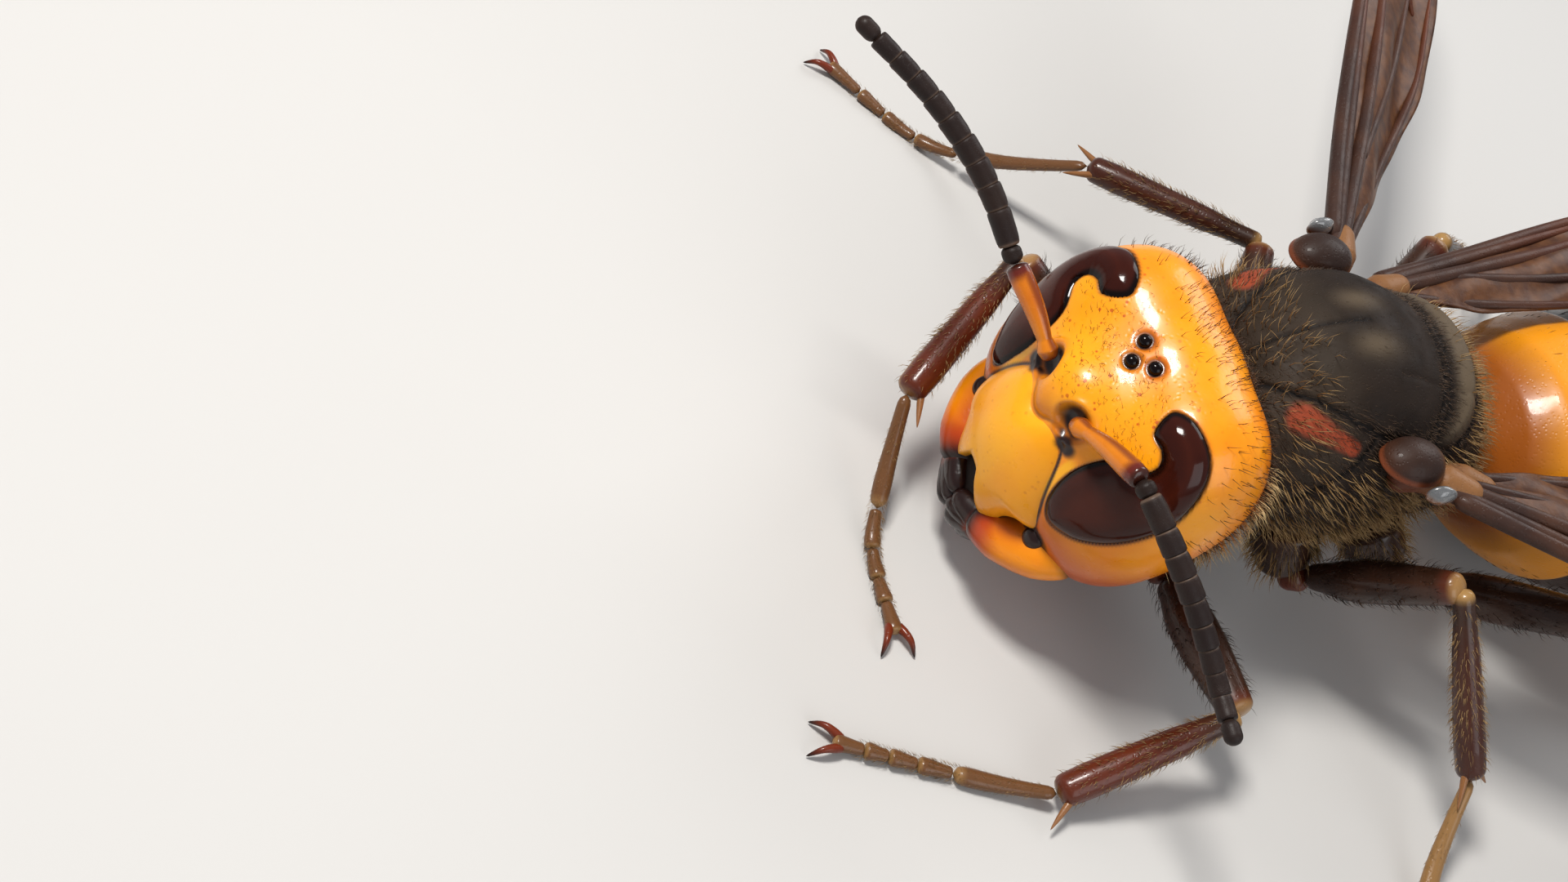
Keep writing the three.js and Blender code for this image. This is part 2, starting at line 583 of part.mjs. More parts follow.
const ground = solid(new THREE.BoxGeometry(80, 80, 4).translate(0, 0, GROUND - 2));
for (const [name, stance] of Object.entries(STANCES)) {
  const [pairName, label] = name.split('_');
  const side = label === 'left' ? 1 : -1;
  const sizes = LEG_SIZES[pairName];
  const hip = v(...mirrored(sizes.hip, side));
  const hipEnd = v(...mirrored(sizes.coxa, side));
  const ankle = v(...stance.ankle);
  const knee = kneeOf(hipEnd, ankle, sizes.femur, sizes.tibia, v(...stance.knee));
  const list = (...points) => points.map((p) => p.toArray());
  const { thick } = sizes;
  const scaled = (shares) => taper(...shares.map((share) => share * thick));
  const coxaBar = (grow) =>
    solid(bar(list(hip, hipEnd), taper(...COXA_RADII), { sides: 9, steps: 3, grow, blunt: 0.4 }));
  const femurBar = (grow) =>
    solid(bar(list(hipEnd, knee), scaled(FEMUR_SHAPE), { sides: 8, steps: 6, grow, blunt: 0.35 }));
  const tibiaBar = (grow) =>
    solid(bar(list(knee, ankle), scaled(TIBIA_SHAPE), { sides: 8, steps: 5, grow, blunt: 0.3 }));

  const shin = ankle.clone().sub(knee).normalize();
  const outward = v(0, 0, 1).cross(shin).normalize();
  const spurs = (grow) => (pairName === 'fore' ? [1] : [1, -1]).map((way) => {
    const from = ankle.clone().addScaledVector(shin, -0.45).addScaledVector(outward, way * 0.28);
    const to = ankle.clone().addScaledVector(shin, SPUR_REACH).addScaledVector(outward, way * SPUR_SPREAD);
    return solid(spike(from.toArray(), to.toArray(), SPUR_RADIUS, 4, grow));
  });

  const low = GROUND + FOOT_HEIGHT;
  const [turn, tip] = stance.foot.map(([x, y]) => v(x, y, low));
  const heel = ankle.clone().lerp(turn, 0.5);
  heel.z -= (heel.z - low) * 0.25;
  const jointed = (t) => {
    const i = FOOT_JOINTS.findIndex((end) => t < end);
    const part = (t - FOOT_JOINTS[i - 1]) / (FOOT_JOINTS[i] - FOOT_JOINTS[i - 1]);
    return FOOT_RADIUS * THREE.MathUtils.lerp(FOOT_WAIST, 1, part ** 1.5);
  };
  const foot = solid(bar(list(ankle, heel, turn, tip), jointed, { sides: 6, steps: 13, blunt: 0.25 }));
  const along = tip.clone().sub(turn).normalize();
  const across = v(-along.y, along.x, 0);
  const claws = [1, -1].map((way) => {
    const from = tip.clone().addScaledVector(along, -0.35).addScaledVector(across, way * 0.15);
    const to = tip.clone().addScaledVector(along, CLAW_REACH).addScaledVector(across, way * CLAW_SPREAD);
    return solid(spike(from.toArray(), [to.x, to.y, GROUND + 0.1], CLAW_RADIUS, 4));
  });

  addPart(hornet, `coxa_${name}`, cut(coxaBar(0), thoraxGrown), FINISHES.leg());
  const femur = cut(femurBar(0), coxaBar(GAP), thoraxGrown, headGrownInBody);
  addPart(hornet, `femur_${name}`, femur, FINISHES.leg());
  addPart(hornet, `tibia_${name}`, cut(join(tibiaBar(0), ...spurs(0)), femurBar(GAP)), FINISHES.leg());
  const tarsus = cut(join(foot, ...claws), tibiaBar(GAP), ...spurs(GAP), ground);
  addPart(hornet, `tarsus_${name}`, tarsus, FINISHES.foot());
}

for (const [name, plate] of Object.entries(plates)) {
  addPart(hornet, name, plate, FINISHES.velvet());
}
addPart(hornet, 'neck', neckBar(0), FINISHES.dark());
addPart(hornet, 'petiole', petioleBar(0), FINISHES.dark());

// Abdomen: six ringed segments, each rim standing a little over the next

const ABDOMEN_WIDTHS = [
  [1.1, 3.1, 4.1, 4.6, 4.95],
  [4.9, 5.2, 5.4, 5.5, 5.5],
  [5.4, 5.5, 5.45, 5.35, 5.2],
  [5.1, 5.05, 4.9, 4.7, 4.45],
  [4.35, 4.2, 3.9, 3.55, 3.15],
  [3.0, 2.7, 2.2, 1.5, 0.45],
];
const abdomenPath = new THREE.CatmullRomCurve3(vectors(ABDOMEN_LINE), false, 'centripetal');
const abdomenLong = abdomenPath.getLength();

function abdomenSegment(index) {
  const start = ABDOMEN_ENDS[index] + (index > 0 ? GAP : 0);
  const end = ABDOMEN_ENDS[index + 1];
  const geometry = new THREE.CylinderGeometry(1, 1, 1, 28, 4);
  const place = geometry.attributes.position;
  const widths = taper(...ABDOMEN_WIDTHS[index]);
  for (let i = 0; i < place.count; i += 1) {
    const along = place.getY(i) + 0.5;
    const at = THREE.MathUtils.lerp(start, end, along) / abdomenLong;
    const middle = abdomenPath.getPointAt(Math.min(at, 1));
    const tangent = abdomenPath.getTangentAt(Math.min(at, 1));
    const upward = v(0, 0, 1).addScaledVector(tangent, -tangent.z).normalize();
    const side = tangent.clone().cross(upward);
    const wide = widths(along) - (index > 0 && along < 0.15 ? ABDOMEN_STEP : 0);
    const spot = middle
      .addScaledVector(side, place.getX(i) * wide)
      .addScaledVector(upward, place.getZ(i) * wide * ABDOMEN_TALL);
    place.setXYZ(i, spot.x, spot.y, spot.z);
  }
  return solid(geometry);
}

for (let index = 0; index < ABDOMEN_ENDS.length - 1; index += 1) {
  const isFirst = index === 0;
  const segment = isFirst ? cut(abdomenSegment(0), petioleBar(GAP), thoraxGrown) : abdomenSegment(index);
  const colour = isFirst || index === 5 ? FINISHES.amber() : FINISHES.dark();
  addPart(hornet, `abdomen_${index + 1}`, segment, colour);
}

// The middle of the hornet's footprint is the origin, and its feet stand at Z = 0
const reach = new THREE.Box3().setFromObject(hornet);
hornet.position.set(-(reach.min.x + reach.max.x) / 2, -(reach.min.y + reach.max.y) / 2, -GROUND);

export default hornet;
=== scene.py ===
# %% [markdown]
# # An asian giant hornet
# This lesson dresses a life-size model of the insect, piece by piece: its armour of chitin plates, its
# C-shaped eyes, its ringed antennae, its half-open wings and its coat of bristles. The solids under it are
# already in place, so every new piece takes its position from them and only adds the fine surface.

import bpy
import numpy as np
from mathutils import Matrix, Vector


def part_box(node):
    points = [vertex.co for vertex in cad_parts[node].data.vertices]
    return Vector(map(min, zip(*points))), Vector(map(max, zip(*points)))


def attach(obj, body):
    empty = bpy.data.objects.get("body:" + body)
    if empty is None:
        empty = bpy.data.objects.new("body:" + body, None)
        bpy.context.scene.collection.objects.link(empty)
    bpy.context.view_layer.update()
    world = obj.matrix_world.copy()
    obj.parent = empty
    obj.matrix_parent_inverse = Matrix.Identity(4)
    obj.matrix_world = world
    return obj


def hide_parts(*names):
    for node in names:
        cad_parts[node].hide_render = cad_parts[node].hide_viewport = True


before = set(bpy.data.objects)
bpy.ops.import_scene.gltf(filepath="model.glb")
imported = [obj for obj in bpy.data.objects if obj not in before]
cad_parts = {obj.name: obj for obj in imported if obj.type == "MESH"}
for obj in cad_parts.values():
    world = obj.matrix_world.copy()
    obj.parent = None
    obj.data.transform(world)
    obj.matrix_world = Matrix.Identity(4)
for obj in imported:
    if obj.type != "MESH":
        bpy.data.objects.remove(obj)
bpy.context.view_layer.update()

# %% [markdown]
# An insect is easiest to draw in its own millimetres, with the middle of the thorax at zero, the face
# towards -Y and the left side towards +X. One helper then moves finished corners into the frame. The
# shift between the two comes from the waist, the petiole, whose middle is known in both.

# %% The insect's own millimetres
MM = 0.001
PETIOLE_MIDDLE = np.array([0.0, 5.9, -1.55])
waist_low, waist_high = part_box("petiole")
SHIFT = (np.array(waist_low) + np.array(waist_high)) / 2 / MM - PETIOLE_MIDDLE
GROUND = -SHIFT[2]


def placed(points):
    """Points in the insect's millimetres, as metres in the frame."""
    return (np.asarray(points, float) + SHIFT) * MM


print("thorax middle in the frame:", np.round(placed([0, 0, 0]), 4))

# %% [markdown]
# The camera comes first, so that every later choice is seen from the right place. A macro lens stands
# a hand's width from the head, up and to the insect's left. It is rolled about its own line of sight,
# so that the face looks out of the picture towards the left.

# %% Camera
CAMERA_AT = [34.79, -47.58, 45.68]
CAMERA_RIGHT = [0.2242, 0.8984, 0.3777]
CAMERA_AHEAD = [-0.5199, 0.4381, -0.7333]
LENS = 51.08


def unit(vector):
    vector = np.asarray(vector, float)
    return vector / np.linalg.norm(vector, axis=-1, keepdims=True)


def rotation_matrix(right, ahead):
    back = -unit(ahead)
    right = unit(np.asarray(right) - back * np.dot(right, back))
    return np.column_stack([right, np.cross(back, right), back])


def pose(at, right, ahead):
    """Place and turn of a camera or a lamp that looks along ahead."""
    turned = np.eye(4)
    turned[:3, :3] = rotation_matrix(right, ahead)
    turned[:3, 3] = placed(at)
    return Matrix(turned)


bpy.ops.object.select_all(action="DESELECT")
bpy.ops.object.camera_add(location=placed(CAMERA_AT))
camera = bpy.context.object
camera.name = "macro_camera"
camera.matrix_world = pose(CAMERA_AT, CAMERA_RIGHT, CAMERA_AHEAD)
camera.data.lens = LENS
camera.data.sensor_width = 36.0
camera.data.clip_start = 0.002
camera.data.clip_end = 20.0
bpy.context.scene.camera = camera
print("camera at", np.round(placed(CAMERA_AT), 4), "lens", camera.data.lens)

# %% [markdown]
# The set is a plain pale floor and soft light, as in a small product studio. Each lamp is a large square
# close to the subject, so that the glossy head shows broad, quiet highlights with one bright window.

# %% Floor and lights
FLOOR_HALF = 1500.0
SKY_COLOUR = (0.92, 0.94, 1.0, 1)
SKY_STRENGTH = 0.34


def lamp(name, at, target, size, power, colour=(1, 1, 1)):
    """A square soft light at a place in millimetres, aimed at a target."""
    bpy.ops.object.select_all(action="DESELECT")
    bpy.ops.object.light_add(type="AREA", location=placed(at))
    light = bpy.context.object
    light.name = name
    light.data.size = size * MM
    light.data.energy = power
    light.data.color = colour
    aim = unit(np.array(target, float) - np.array(at, float))
    side = unit(np.cross(aim, [0.0, 0.0, 1.0]))
    light.matrix_world = pose(at, side, aim)


lamp("key_light", [-30, -60, 120], [0, -4, -1], 30, 0.21, (1.0, 0.97, 0.93))
lamp("fill_light", [120, 30, 60], [0, 0, -2], 90, 0.06, (0.96, 0.98, 1.0))
lamp("rim_light", [-60, 100, 90], [0, 4, 0], 80, 0.08)
bpy.context.scene.view_settings.view_transform = "Standard"
world = bpy.data.worlds.new("studio")
bpy.context.scene.world = world
world.use_nodes = True
world.node_tree.nodes["Background"].inputs["Color"].default_value = SKY_COLOUR
world.node_tree.nodes["Background"].inputs["Strength"].default_value = SKY_STRENGTH

bpy.ops.object.select_all(action="DESELECT")
bpy.ops.mesh.primitive_plane_add(size=2 * FLOOR_HALF * MM, location=(0, 0, 0))
floor = bpy.context.object
floor.name = "studio_floor"

# %% [markdown]
# Chitin is a hard, waxy, slightly see-through shell. Every finish below is one graph with the same
# parts: a base colour that drifts a little, painted masks for seams and markings, fine pits as bump, and
# a clear coat. The masks are stored on each piece as a colour attribute called tone: red darkens,
# green reddens, blue turns pale and alpha opens dark pores, so that markings follow the form exactly.

# %% Materials
def shader(name):
    """A new material with its graph, its shader and its object coordinates."""
    material = bpy.data.materials.new(name)
    material.use_nodes = True
    tree = material.node_tree
    surface = tree.nodes["Principled BSDF"]
    coordinates = tree.nodes.new("ShaderNodeTexCoord").outputs["Object"]
    return material, tree, surface, coordinates


def noise(tree, coordinates, size, detail=3.0, roughness=0.55):
    """Soft noise with blobs of a size in millimetres."""
    texture = tree.nodes.new("ShaderNodeTexNoise")
    texture.inputs["Scale"].default_value = 1 / (size * MM)
    texture.inputs["Detail"].default_value = detail
    texture.inputs["Roughness"].default_value = roughness
    tree.links.new(coordinates, texture.inputs["Vector"])
    return texture.outputs["Fac"]


def ramp(tree, value, low, high, to_low=0.0, to_high=1.0):
    """A value stretched from one range to another."""
    stretch = tree.nodes.new("ShaderNodeMapRange")
    for socket, number in zip(("From Min", "From Max", "To Min", "To Max"), (low, high, to_low, to_high)):
        stretch.inputs[socket].default_value = number
    tree.links.new(value, stretch.inputs["Value"])
    return stretch.outputs["Result"]


def blend(tree, amount, first, second):
    """Two colours mixed. Each is a socket or a plain colour."""
    mix = tree.nodes.new("ShaderNodeMix")
    mix.data_type = "RGBA"
    tree.links.new(amount, mix.inputs["Factor"])
    for socket, colour in ((mix.inputs[6], first), (mix.inputs[7], second)):
        if isinstance(colour, bpy.types.NodeSocket):
            tree.links.new(colour, socket)
        else:
            socket.default_value = (*colour, 1)
    return mix.outputs[2]


def bump(tree, surface, heights):
    """Bumps from pairs of a height socket and its depth in millimetres."""
    below = None
    for height, depth in heights:
        relief = tree.nodes.new("ShaderNodeBump")
        relief.inputs["Strength"].default_value = 1.0
        relief.inputs["Distance"].default_value = depth * MM
        tree.links.new(height, relief.inputs["Height"])
        if below:
            tree.links.new(below, relief.inputs["Normal"])
        below = relief.outputs["Normal"]
    tree.links.new(below, surface.inputs["Normal"])


def cells(tree, coordinates, size):
    """How far each spot lies from the middle of its cell, for cells of a size in millimetres."""
    texture = tree.nodes.new("ShaderNodeTexVoronoi")
    texture.inputs["Scale"].default_value = 1 / (size * MM)
    tree.links.new(coordinates, texture.inputs["Vector"])
    return texture.outputs["Distance"]


PORE_SIZE = 0.34
DRIFT_SIZE = 2.2
WEAR_SIZE = 0.7


def chitin(name, base, other, dark, red, pale, rough, coat, pit, depth, shine=0.3):
    """Hard shell with drifting colour, painted masks, pores, pits and a clear coat."""
    material, tree, surface, coordinates = shader(name)
    tone = tree.nodes.new("ShaderNodeAttribute")
    tone.attribute_name = "tone"
    masks = tree.nodes.new("ShaderNodeSeparateColor")
    tree.links.new(tone.outputs["Color"], masks.inputs["Color"])
    drift = ramp(tree, noise(tree, coordinates, DRIFT_SIZE), 0.35, 0.65)
    colour = blend(tree, drift, base, other)
    colour = blend(tree, masks.outputs["Green"], colour, red)
    colour = blend(tree, masks.outputs["Blue"], colour, pale)
    dots = tree.nodes.new("ShaderNodeMath")
    dots.operation = "MULTIPLY"
    pores = cells(tree, coordinates, PORE_SIZE)
    tree.links.new(ramp(tree, pores, 0.13, 0.2, 0.75, 0.0), dots.inputs[0])
    tree.links.new(tone.outputs["Alpha"], dots.inputs[1])
    colour = blend(tree, dots.outputs["Value"], colour, red)
    colour = blend(tree, masks.outputs["Red"], colour, dark)
    tree.links.new(colour, surface.inputs["Base Color"])
    worn = ramp(tree, noise(tree, coordinates, WEAR_SIZE), 0.3, 0.7, *rough)
    tree.links.new(worn, surface.inputs["Roughness"])
    surface.inputs["Coat Weight"].default_value = coat
    surface.inputs["Coat Roughness"].default_value = 0.08
    surface.inputs["Specular IOR Level"].default_value = shine
    bump(tree, surface, [
        (noise(tree, coordinates, 0.35, 2.0), depth * 0.6),
        (ramp(tree, cells(tree, coordinates, pit), 0.0, 0.35), depth),
    ])
    return material


BLACK_BROWN = (0.012, 0.006, 0.004)
orange_shell = chitin(
    "orange_shell", base=(0.88, 0.3, 0.003), other=(0.82, 0.22, 0.002), dark=(0.014, 0.004, 0.003),
    red=(0.42, 0.045, 0.003), pale=(0.92, 0.42, 0.008),
    rough=(0.26, 0.38), coat=0.22, pit=0.22, depth=0.006,
)
eye_shell = chitin(
    "eye_shell", base=(0.026, 0.0045, 0.0025), other=(0.04, 0.007, 0.0035), dark=(0.003, 0.001, 0.001),
    red=(0.085, 0.015, 0.006), pale=(0.1, 0.03, 0.02),
    rough=(0.1, 0.16), coat=0.18, pit=0.035, depth=0.0006, shine=0.12,
)
antenna_shell = chitin(
    "antenna_shell", base=(0.014, 0.008, 0.007), other=(0.022, 0.012, 0.009), dark=BLACK_BROWN,
    red=(0.3, 0.06, 0.01), pale=(0.2, 0.13, 0.09),
    rough=(0.4, 0.55), coat=0.0, pit=0.06, depth=0.006, shine=0.2,
)
scape_shell = chitin(
    "scape_shell", base=(0.66, 0.2, 0.006), other=(0.55, 0.13, 0.004), dark=(0.03, 0.008, 0.004),
    red=(0.11, 0.012, 0.006), pale=(0.85, 0.45, 0.05),
    rough=(0.2, 0.32), coat=0.3, pit=0.1, depth=0.003,
)
thorax_shell = chitin(
    "thorax_shell", base=(0.01, 0.006, 0.004), other=(0.02, 0.012, 0.008), dark=(0.003, 0.002, 0.002),
    red=(0.32, 0.045, 0.014), pale=(0.11, 0.08, 0.05),
    rough=(0.55, 0.8), coat=0.0, pit=0.12, depth=0.012, shine=0.15,
)
abdomen_shell = chitin(
    "abdomen_shell", base=(0.026, 0.011, 0.007), other=(0.035, 0.014, 0.008), dark=BLACK_BROWN,
    red=(0.26, 0.05, 0.008), pale=(0.82, 0.3, 0.008),
    rough=(0.28, 0.42), coat=0.2, pit=0.16, depth=0.008,
)
leg_shell = chitin(
    "leg_shell", base=(0.024, 0.01, 0.006), other=(0.042, 0.016, 0.008), dark=(0.006, 0.003, 0.002),
    red=(0.15, 0.022, 0.006), pale=(0.5, 0.29, 0.1),
    rough=(0.26, 0.42), coat=0.2, pit=0.14, depth=0.01, shine=0.25,
)
vein_shell = chitin(
    "vein_shell", base=(0.03, 0.013, 0.009), other=(0.055, 0.022, 0.012), dark=BLACK_BROWN,
    red=(0.2, 0.045, 0.012), pale=(0.3, 0.15, 0.05),
    rough=(0.4, 0.6), coat=0.05, pit=0.12, depth=0.014, shine=0.22,
)
# Its grey is a painted reflection: the hinge plates are coloured like the shine they show.
painted_reflection_shell = chitin(
    "painted_reflection_shell", base=(0.09, 0.095, 0.1), other=(0.2, 0.2, 0.2), dark=BLACK_BROWN,
    red=(0.2, 0.07, 0.02), pale=(0.6, 0.58, 0.55),
    rough=(0.12, 0.3), coat=0.8, pit=0.1, depth=0.012, shine=0.7,
)
print("shell finishes:", len([m for m in bpy.data.materials if m.name.endswith("_shell")]))

# %% [markdown]
# The floor is a pale, warm grey and a little rough, so that it catches the shadows softly.

# %% Floor finish
floor_paint, tree, surface, coordinates = shader("floor_paint")
tree.links.new(
    blend(tree, noise(tree, coordinates, 60), (0.52, 0.51, 0.495), (0.57, 0.56, 0.54)),
    surface.inputs["Base Color"],
)
surface.inputs["Roughness"].default_value = 0.7
floor.data.materials.append(floor_paint)

# %% [markdown]
# Nearly every part of an insect is a closed, rounded shell, so one primitive starts them all: a ball,
# added as by hand, whose corners are then moved. A helper reads the corners of the unit ball, a function
# says where each belongs, and another helper writes them back.

# %% A ball and its corners
def add_ball(name, segments, rings):
    """A unit ball whose corners wait to be moved."""
    bpy.ops.object.select_all(action="DESELECT")
    bpy.ops.mesh.primitive_uv_sphere_add(segments=segments, ring_count=rings, radius=1, location=(0, 0, 0))
    piece = bpy.context.object
    piece.name = name
    piece.data.name = name
    return piece


def corners_of(piece):
    flat = np.empty(len(piece.data.vertices) * 3)
    piece.data.vertices.foreach_get("co", flat)
    return flat.reshape(-1, 3)


def move_corners(piece, points):
    """Writes corners given in the insect's millimetres."""
    piece.data.vertices.foreach_set("co", placed(points).ravel())
    piece.data.update()


def paint(piece, dark=0.0, red=0.0, pale=0.0, pores=0.0):
    """Stores the four masks as the colour attribute tone."""
    tone = np.ones((len(piece.data.vertices), 4))
    for channel, mask in enumerate((dark, red, pale, pores)):
        tone[:, channel] = np.clip(mask, 0, 1)
    layer = piece.data.color_attributes.new("tone", "FLOAT_COLOR", "POINT")
    layer.data.foreach_set("color", tone.ravel())


def join_pieces(name, pieces):
    """Several loose pieces as one."""
    bpy.ops.object.select_all(action="DESELECT")
    for piece in pieces:
        piece.select_set(True)
    bpy.context.view_layer.objects.active = pieces[0]
    bpy.ops.object.join()
    pieces[0].name = name
    pieces[0].data.name = name
    return pieces[0]


SIDES = (("left", 1), ("right", -1))


def mirrored(points, side):
    return np.asarray(points, float) * [side, 1, 1]


def finish(piece, material, slot, *nodes):
    """Smooths a piece, faces it outwards, and ties it to the frame."""
    bpy.ops.object.select_all(action="DESELECT")
    piece.select_set(True)
    bpy.context.view_layer.objects.active = piece
    bpy.ops.object.mode_set(mode="EDIT")
    bpy.ops.mesh.select_all(action="SELECT")
    bpy.ops.mesh.normals_make_consistent(inside=False)
    bpy.ops.object.mode_set(mode="OBJECT")
    bpy.ops.object.shade_smooth()
    piece.data.materials.clear()
    piece.data.materials.append(material)
    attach(piece, "root")
    if nodes:
        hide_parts(*nodes)
    print(piece.name, len(piece.data.polygons), "faces")


# %% [markdown]
# The big plates are drawn from fields: each field melts a few rounded lumps together and presses
# hollows into them, as a modeller builds up clay. A ray from the middle of the form finds where the
# surface lies in each direction. A coarse set of these sizes carries the solids too, so the skin fits.

# %% Fields for the big forms
def lump(points, at, size):
    """About how far each point lies outside a rounded lump."""
    offset = points - at
    near = np.linalg.norm(offset / size, axis=1)
    slope = np.linalg.norm(offset / np.square(size), axis=1)
    return near * (near - 1) / np.maximum(slope, 1e-9)


def one(at, size):
    return [(np.array(at, float), size)]


def both_sides(at, size):
    return one(at, size) + one(mirrored(at, -1), size)


def melt(a, b, soft):
    """The nearer of two distances, rounded where they are about the same."""
    h = np.maximum(soft - np.abs(a - b), 0) / soft
    return np.minimum(a, b) - h * h * soft / 4


LUMP_MELT = 0.9
HOLLOW_MELT = 0.35


def form_field(points, lumps, hollows):
    """About how far each point lies outside melted lumps with hollows pressed into them."""
    distance = np.full(len(points), 1e3)
    for at, size in lumps:
        distance = melt(distance, lump(points, at, size), LUMP_MELT)
    for at, size in hollows:
        distance = -melt(-distance, lump(points, at, size), HOLLOW_MELT)
    return distance


FIELD_START = 12.0
FIELD_STEPS = 70
FIELD_PACE = 0.75


def drawn(field, core, ways):
    """Where the surface of a field lies along each way out of its core."""
    reach = np.full(len(ways), FIELD_START)
    for _ in range(FIELD_STEPS):
        reach -= field(core + ways * reach[:, None]) * FIELD_PACE
    return reach


def smooth(value, low, high):
    """Rises from 0 at low to 1 at high."""
    t = np.clip((value - low) / (high - low), 0, 1)
    return t * t * (3 - 2 * t)


def fade(value, low, high):
    """Falls from 1 at low to 0 at high."""
    return 1 - smooth(value, low, high)


def bell(value, width):
    """A soft hump of height 1 at zero."""
    return np.exp(-((value / width) ** 2))


def halved(points):
    """Points of the right half laid over the left half."""
    return np.column_stack([np.abs(points[:, 0]), points[:, 1:]])


# %% [markdown]
# Eyes, face plate and thorax seams are outlines through a few points. A closed smooth curve runs
# through them, and for any corner of a mesh the helper tells its distance to that curve, negative inside.

# %% Outlines
def sampled(wanted, places, values):
    """Rows of values, read at the wanted places."""
    return np.column_stack([np.interp(wanted, places, column) for column in values.T])


SPLINE_STEPS = 24


def between(first, last, start, end, t):
    """The straight way from first to last, for t from start to end."""
    return (end - t) / (end - start) * first + (t - start) / (end - start) * last


def spline(points, count, closed=True):
    """A smooth curve through points, with evenly spaced samples."""
    points = np.array(points, float)
    if closed:
        ring = np.vstack([points[-1], points, points[:2]])
    else:
        ring = np.vstack([2 * points[0] - points[1], points, 2 * points[-1] - points[-2]])
    pieces = []
    for a, b, c, d in zip(ring, ring[1:], ring[2:], ring[3:]):
        steps = [max(np.linalg.norm(q - p), 1e-9) ** 0.5 for p, q in ((a, b), (b, c), (c, d))]
        k = np.cumsum([0] + steps)
        t = np.linspace(k[1], k[2], SPLINE_STEPS, endpoint=False)[:, None]
        ab, bc, cd = [between(p, q, k[i], k[i + 1], t) for i, (p, q) in enumerate(((a, b), (b, c), (c, d)))]
        abc, bcd = between(ab, bc, k[0], k[2], t), between(bc, cd, k[1], k[3], t)
        pieces.append(between(abc, bcd, k[1], k[2], t))
    fine = np.vstack(pieces + [points[:1] if closed else points[-1:]])
    along = np.concatenate([[0], np.cumsum(np.linalg.norm(np.diff(fine, axis=0), axis=1))])
    wanted = np.linspace(0, along[-1], count + 1)
    return sampled(wanted[:-1] if closed else wanted, along, fine)


FAR = 9.0


def line_distance(points, line, closed):
    """Distance of 2-D points to a line of samples."""
    ends = np.roll(line, -1, axis=0) if closed else line[1:]
    starts = line if closed else line[:-1]
    best = np.full(len(points), 1e9)
    for start, end in zip(starts, ends):
        run = end - start
        t = np.clip((points - start) @ run / max(run @ run, 1e-12), 0, 1)
        best = np.minimum(best, np.linalg.norm(points - start - t[:, None] * run, axis=1))
    return best


def inside(points, loop):
    """Which 2-D points lie inside a closed loop."""
    crossings = np.zeros(len(points), int)
    for (x0, y0), (x1, y1) in zip(loop, np.roll(loop, -1, axis=0)):
        spans = (y0 > points[:, 1]) != (y1 > points[:, 1])
        run = np.where(y1 == y0, 1e-12, y1 - y0)
        crossings += spans & (points[:, 0] < (x1 - x0) * (points[:, 1] - y0) / run + x0)
    return crossings % 2 == 1


def outline_distance(points, loop):
    """Distance of 2-D points to a closed loop, negative inside."""
    distance = line_distance(points, loop, True)
    return np.where(inside(points, loop), -distance, distance)


# %% [markdown]
# The head of this hornet is its signature: a broad orange box with swollen cheeks behind the eyes. Its
# lumps are the skull, two temples, two cheeks, the face, the brow and the ridge between the antennae.

# %% Head shape
HEAD_AT = np.array([0.46, -7.89, -0.66])
HEAD_TURN = np.radians([-2.8, 4.1, 3.6])
HEAD_CORE = np.array([0, 0.3, 0])
SOCKET = [1.09, -3.05, 1.28]
HEAD_LUMPS = [
    *one([0, 0.3, 0.15], [4.4, 2.8, 3.9]),
    *one([0, 0.9, 0.9], [3.9, 2.25, 3.2]),
    *both_sides([2.5, 0.4, 0.65], [2.5, 2.85, 3.5]),
    *both_sides([2.3, -0.3, -1.4], [2.6, 2.5, 2.9]),
    *one([0, -1.5, -1.1], [2.9, 2.1, 3.3]),
    *one([0, -1.2, 0.9], [2.4, 1.8, 1.8]),
    *one([0, -2.65, 1.35], [0.95, 0.75, 0.85]),
]
HEAD_HOLLOWS = [
    *one([0, 4.9, -0.7], [2.6, 2.3, 2.3]),
    *both_sides([SOCKET[0], SOCKET[1] - 0.3, SOCKET[2]], [0.55, 0.5, 0.55]),
]
OCELLI_AIM = np.array([[0, -1.55, 2.86], [0.44, -1.1, 3.12], [-0.44, -1.1, 3.12]])
OCELLUS_SIZE = 0.23


def head_field(points):
    return form_field(points, HEAD_LUMPS, HEAD_HOLLOWS)


def turns(angles):
    """Turns about X, Y and Z."""
    (cx, cy, cz), (sx, sy, sz) = np.cos(angles), np.sin(angles)
    about_x = np.array([[1, 0, 0], [0, cx, -sx], [0, sx, cx]])
    about_y = np.array([[cy, 0, sy], [0, 1, 0], [-sy, 0, cy]])
    about_z = np.array([[cz, -sz, 0], [sz, cz, 0], [0, 0, 1]])
    return about_x, about_y, about_z


about_x, about_y, about_z = turns(HEAD_TURN)
HEAD_MATRIX = about_x @ about_y @ about_z
ocelli_ways = unit(OCELLI_AIM - HEAD_CORE)
OCELLI = HEAD_CORE + ocelli_ways * drawn(head_field, HEAD_CORE, ocelli_ways)[:, None]


def on_neck(points):
    """Points of the head's own frame, in the frame of the body."""
    return np.asarray(points, float) @ HEAD_MATRIX.T + HEAD_AT


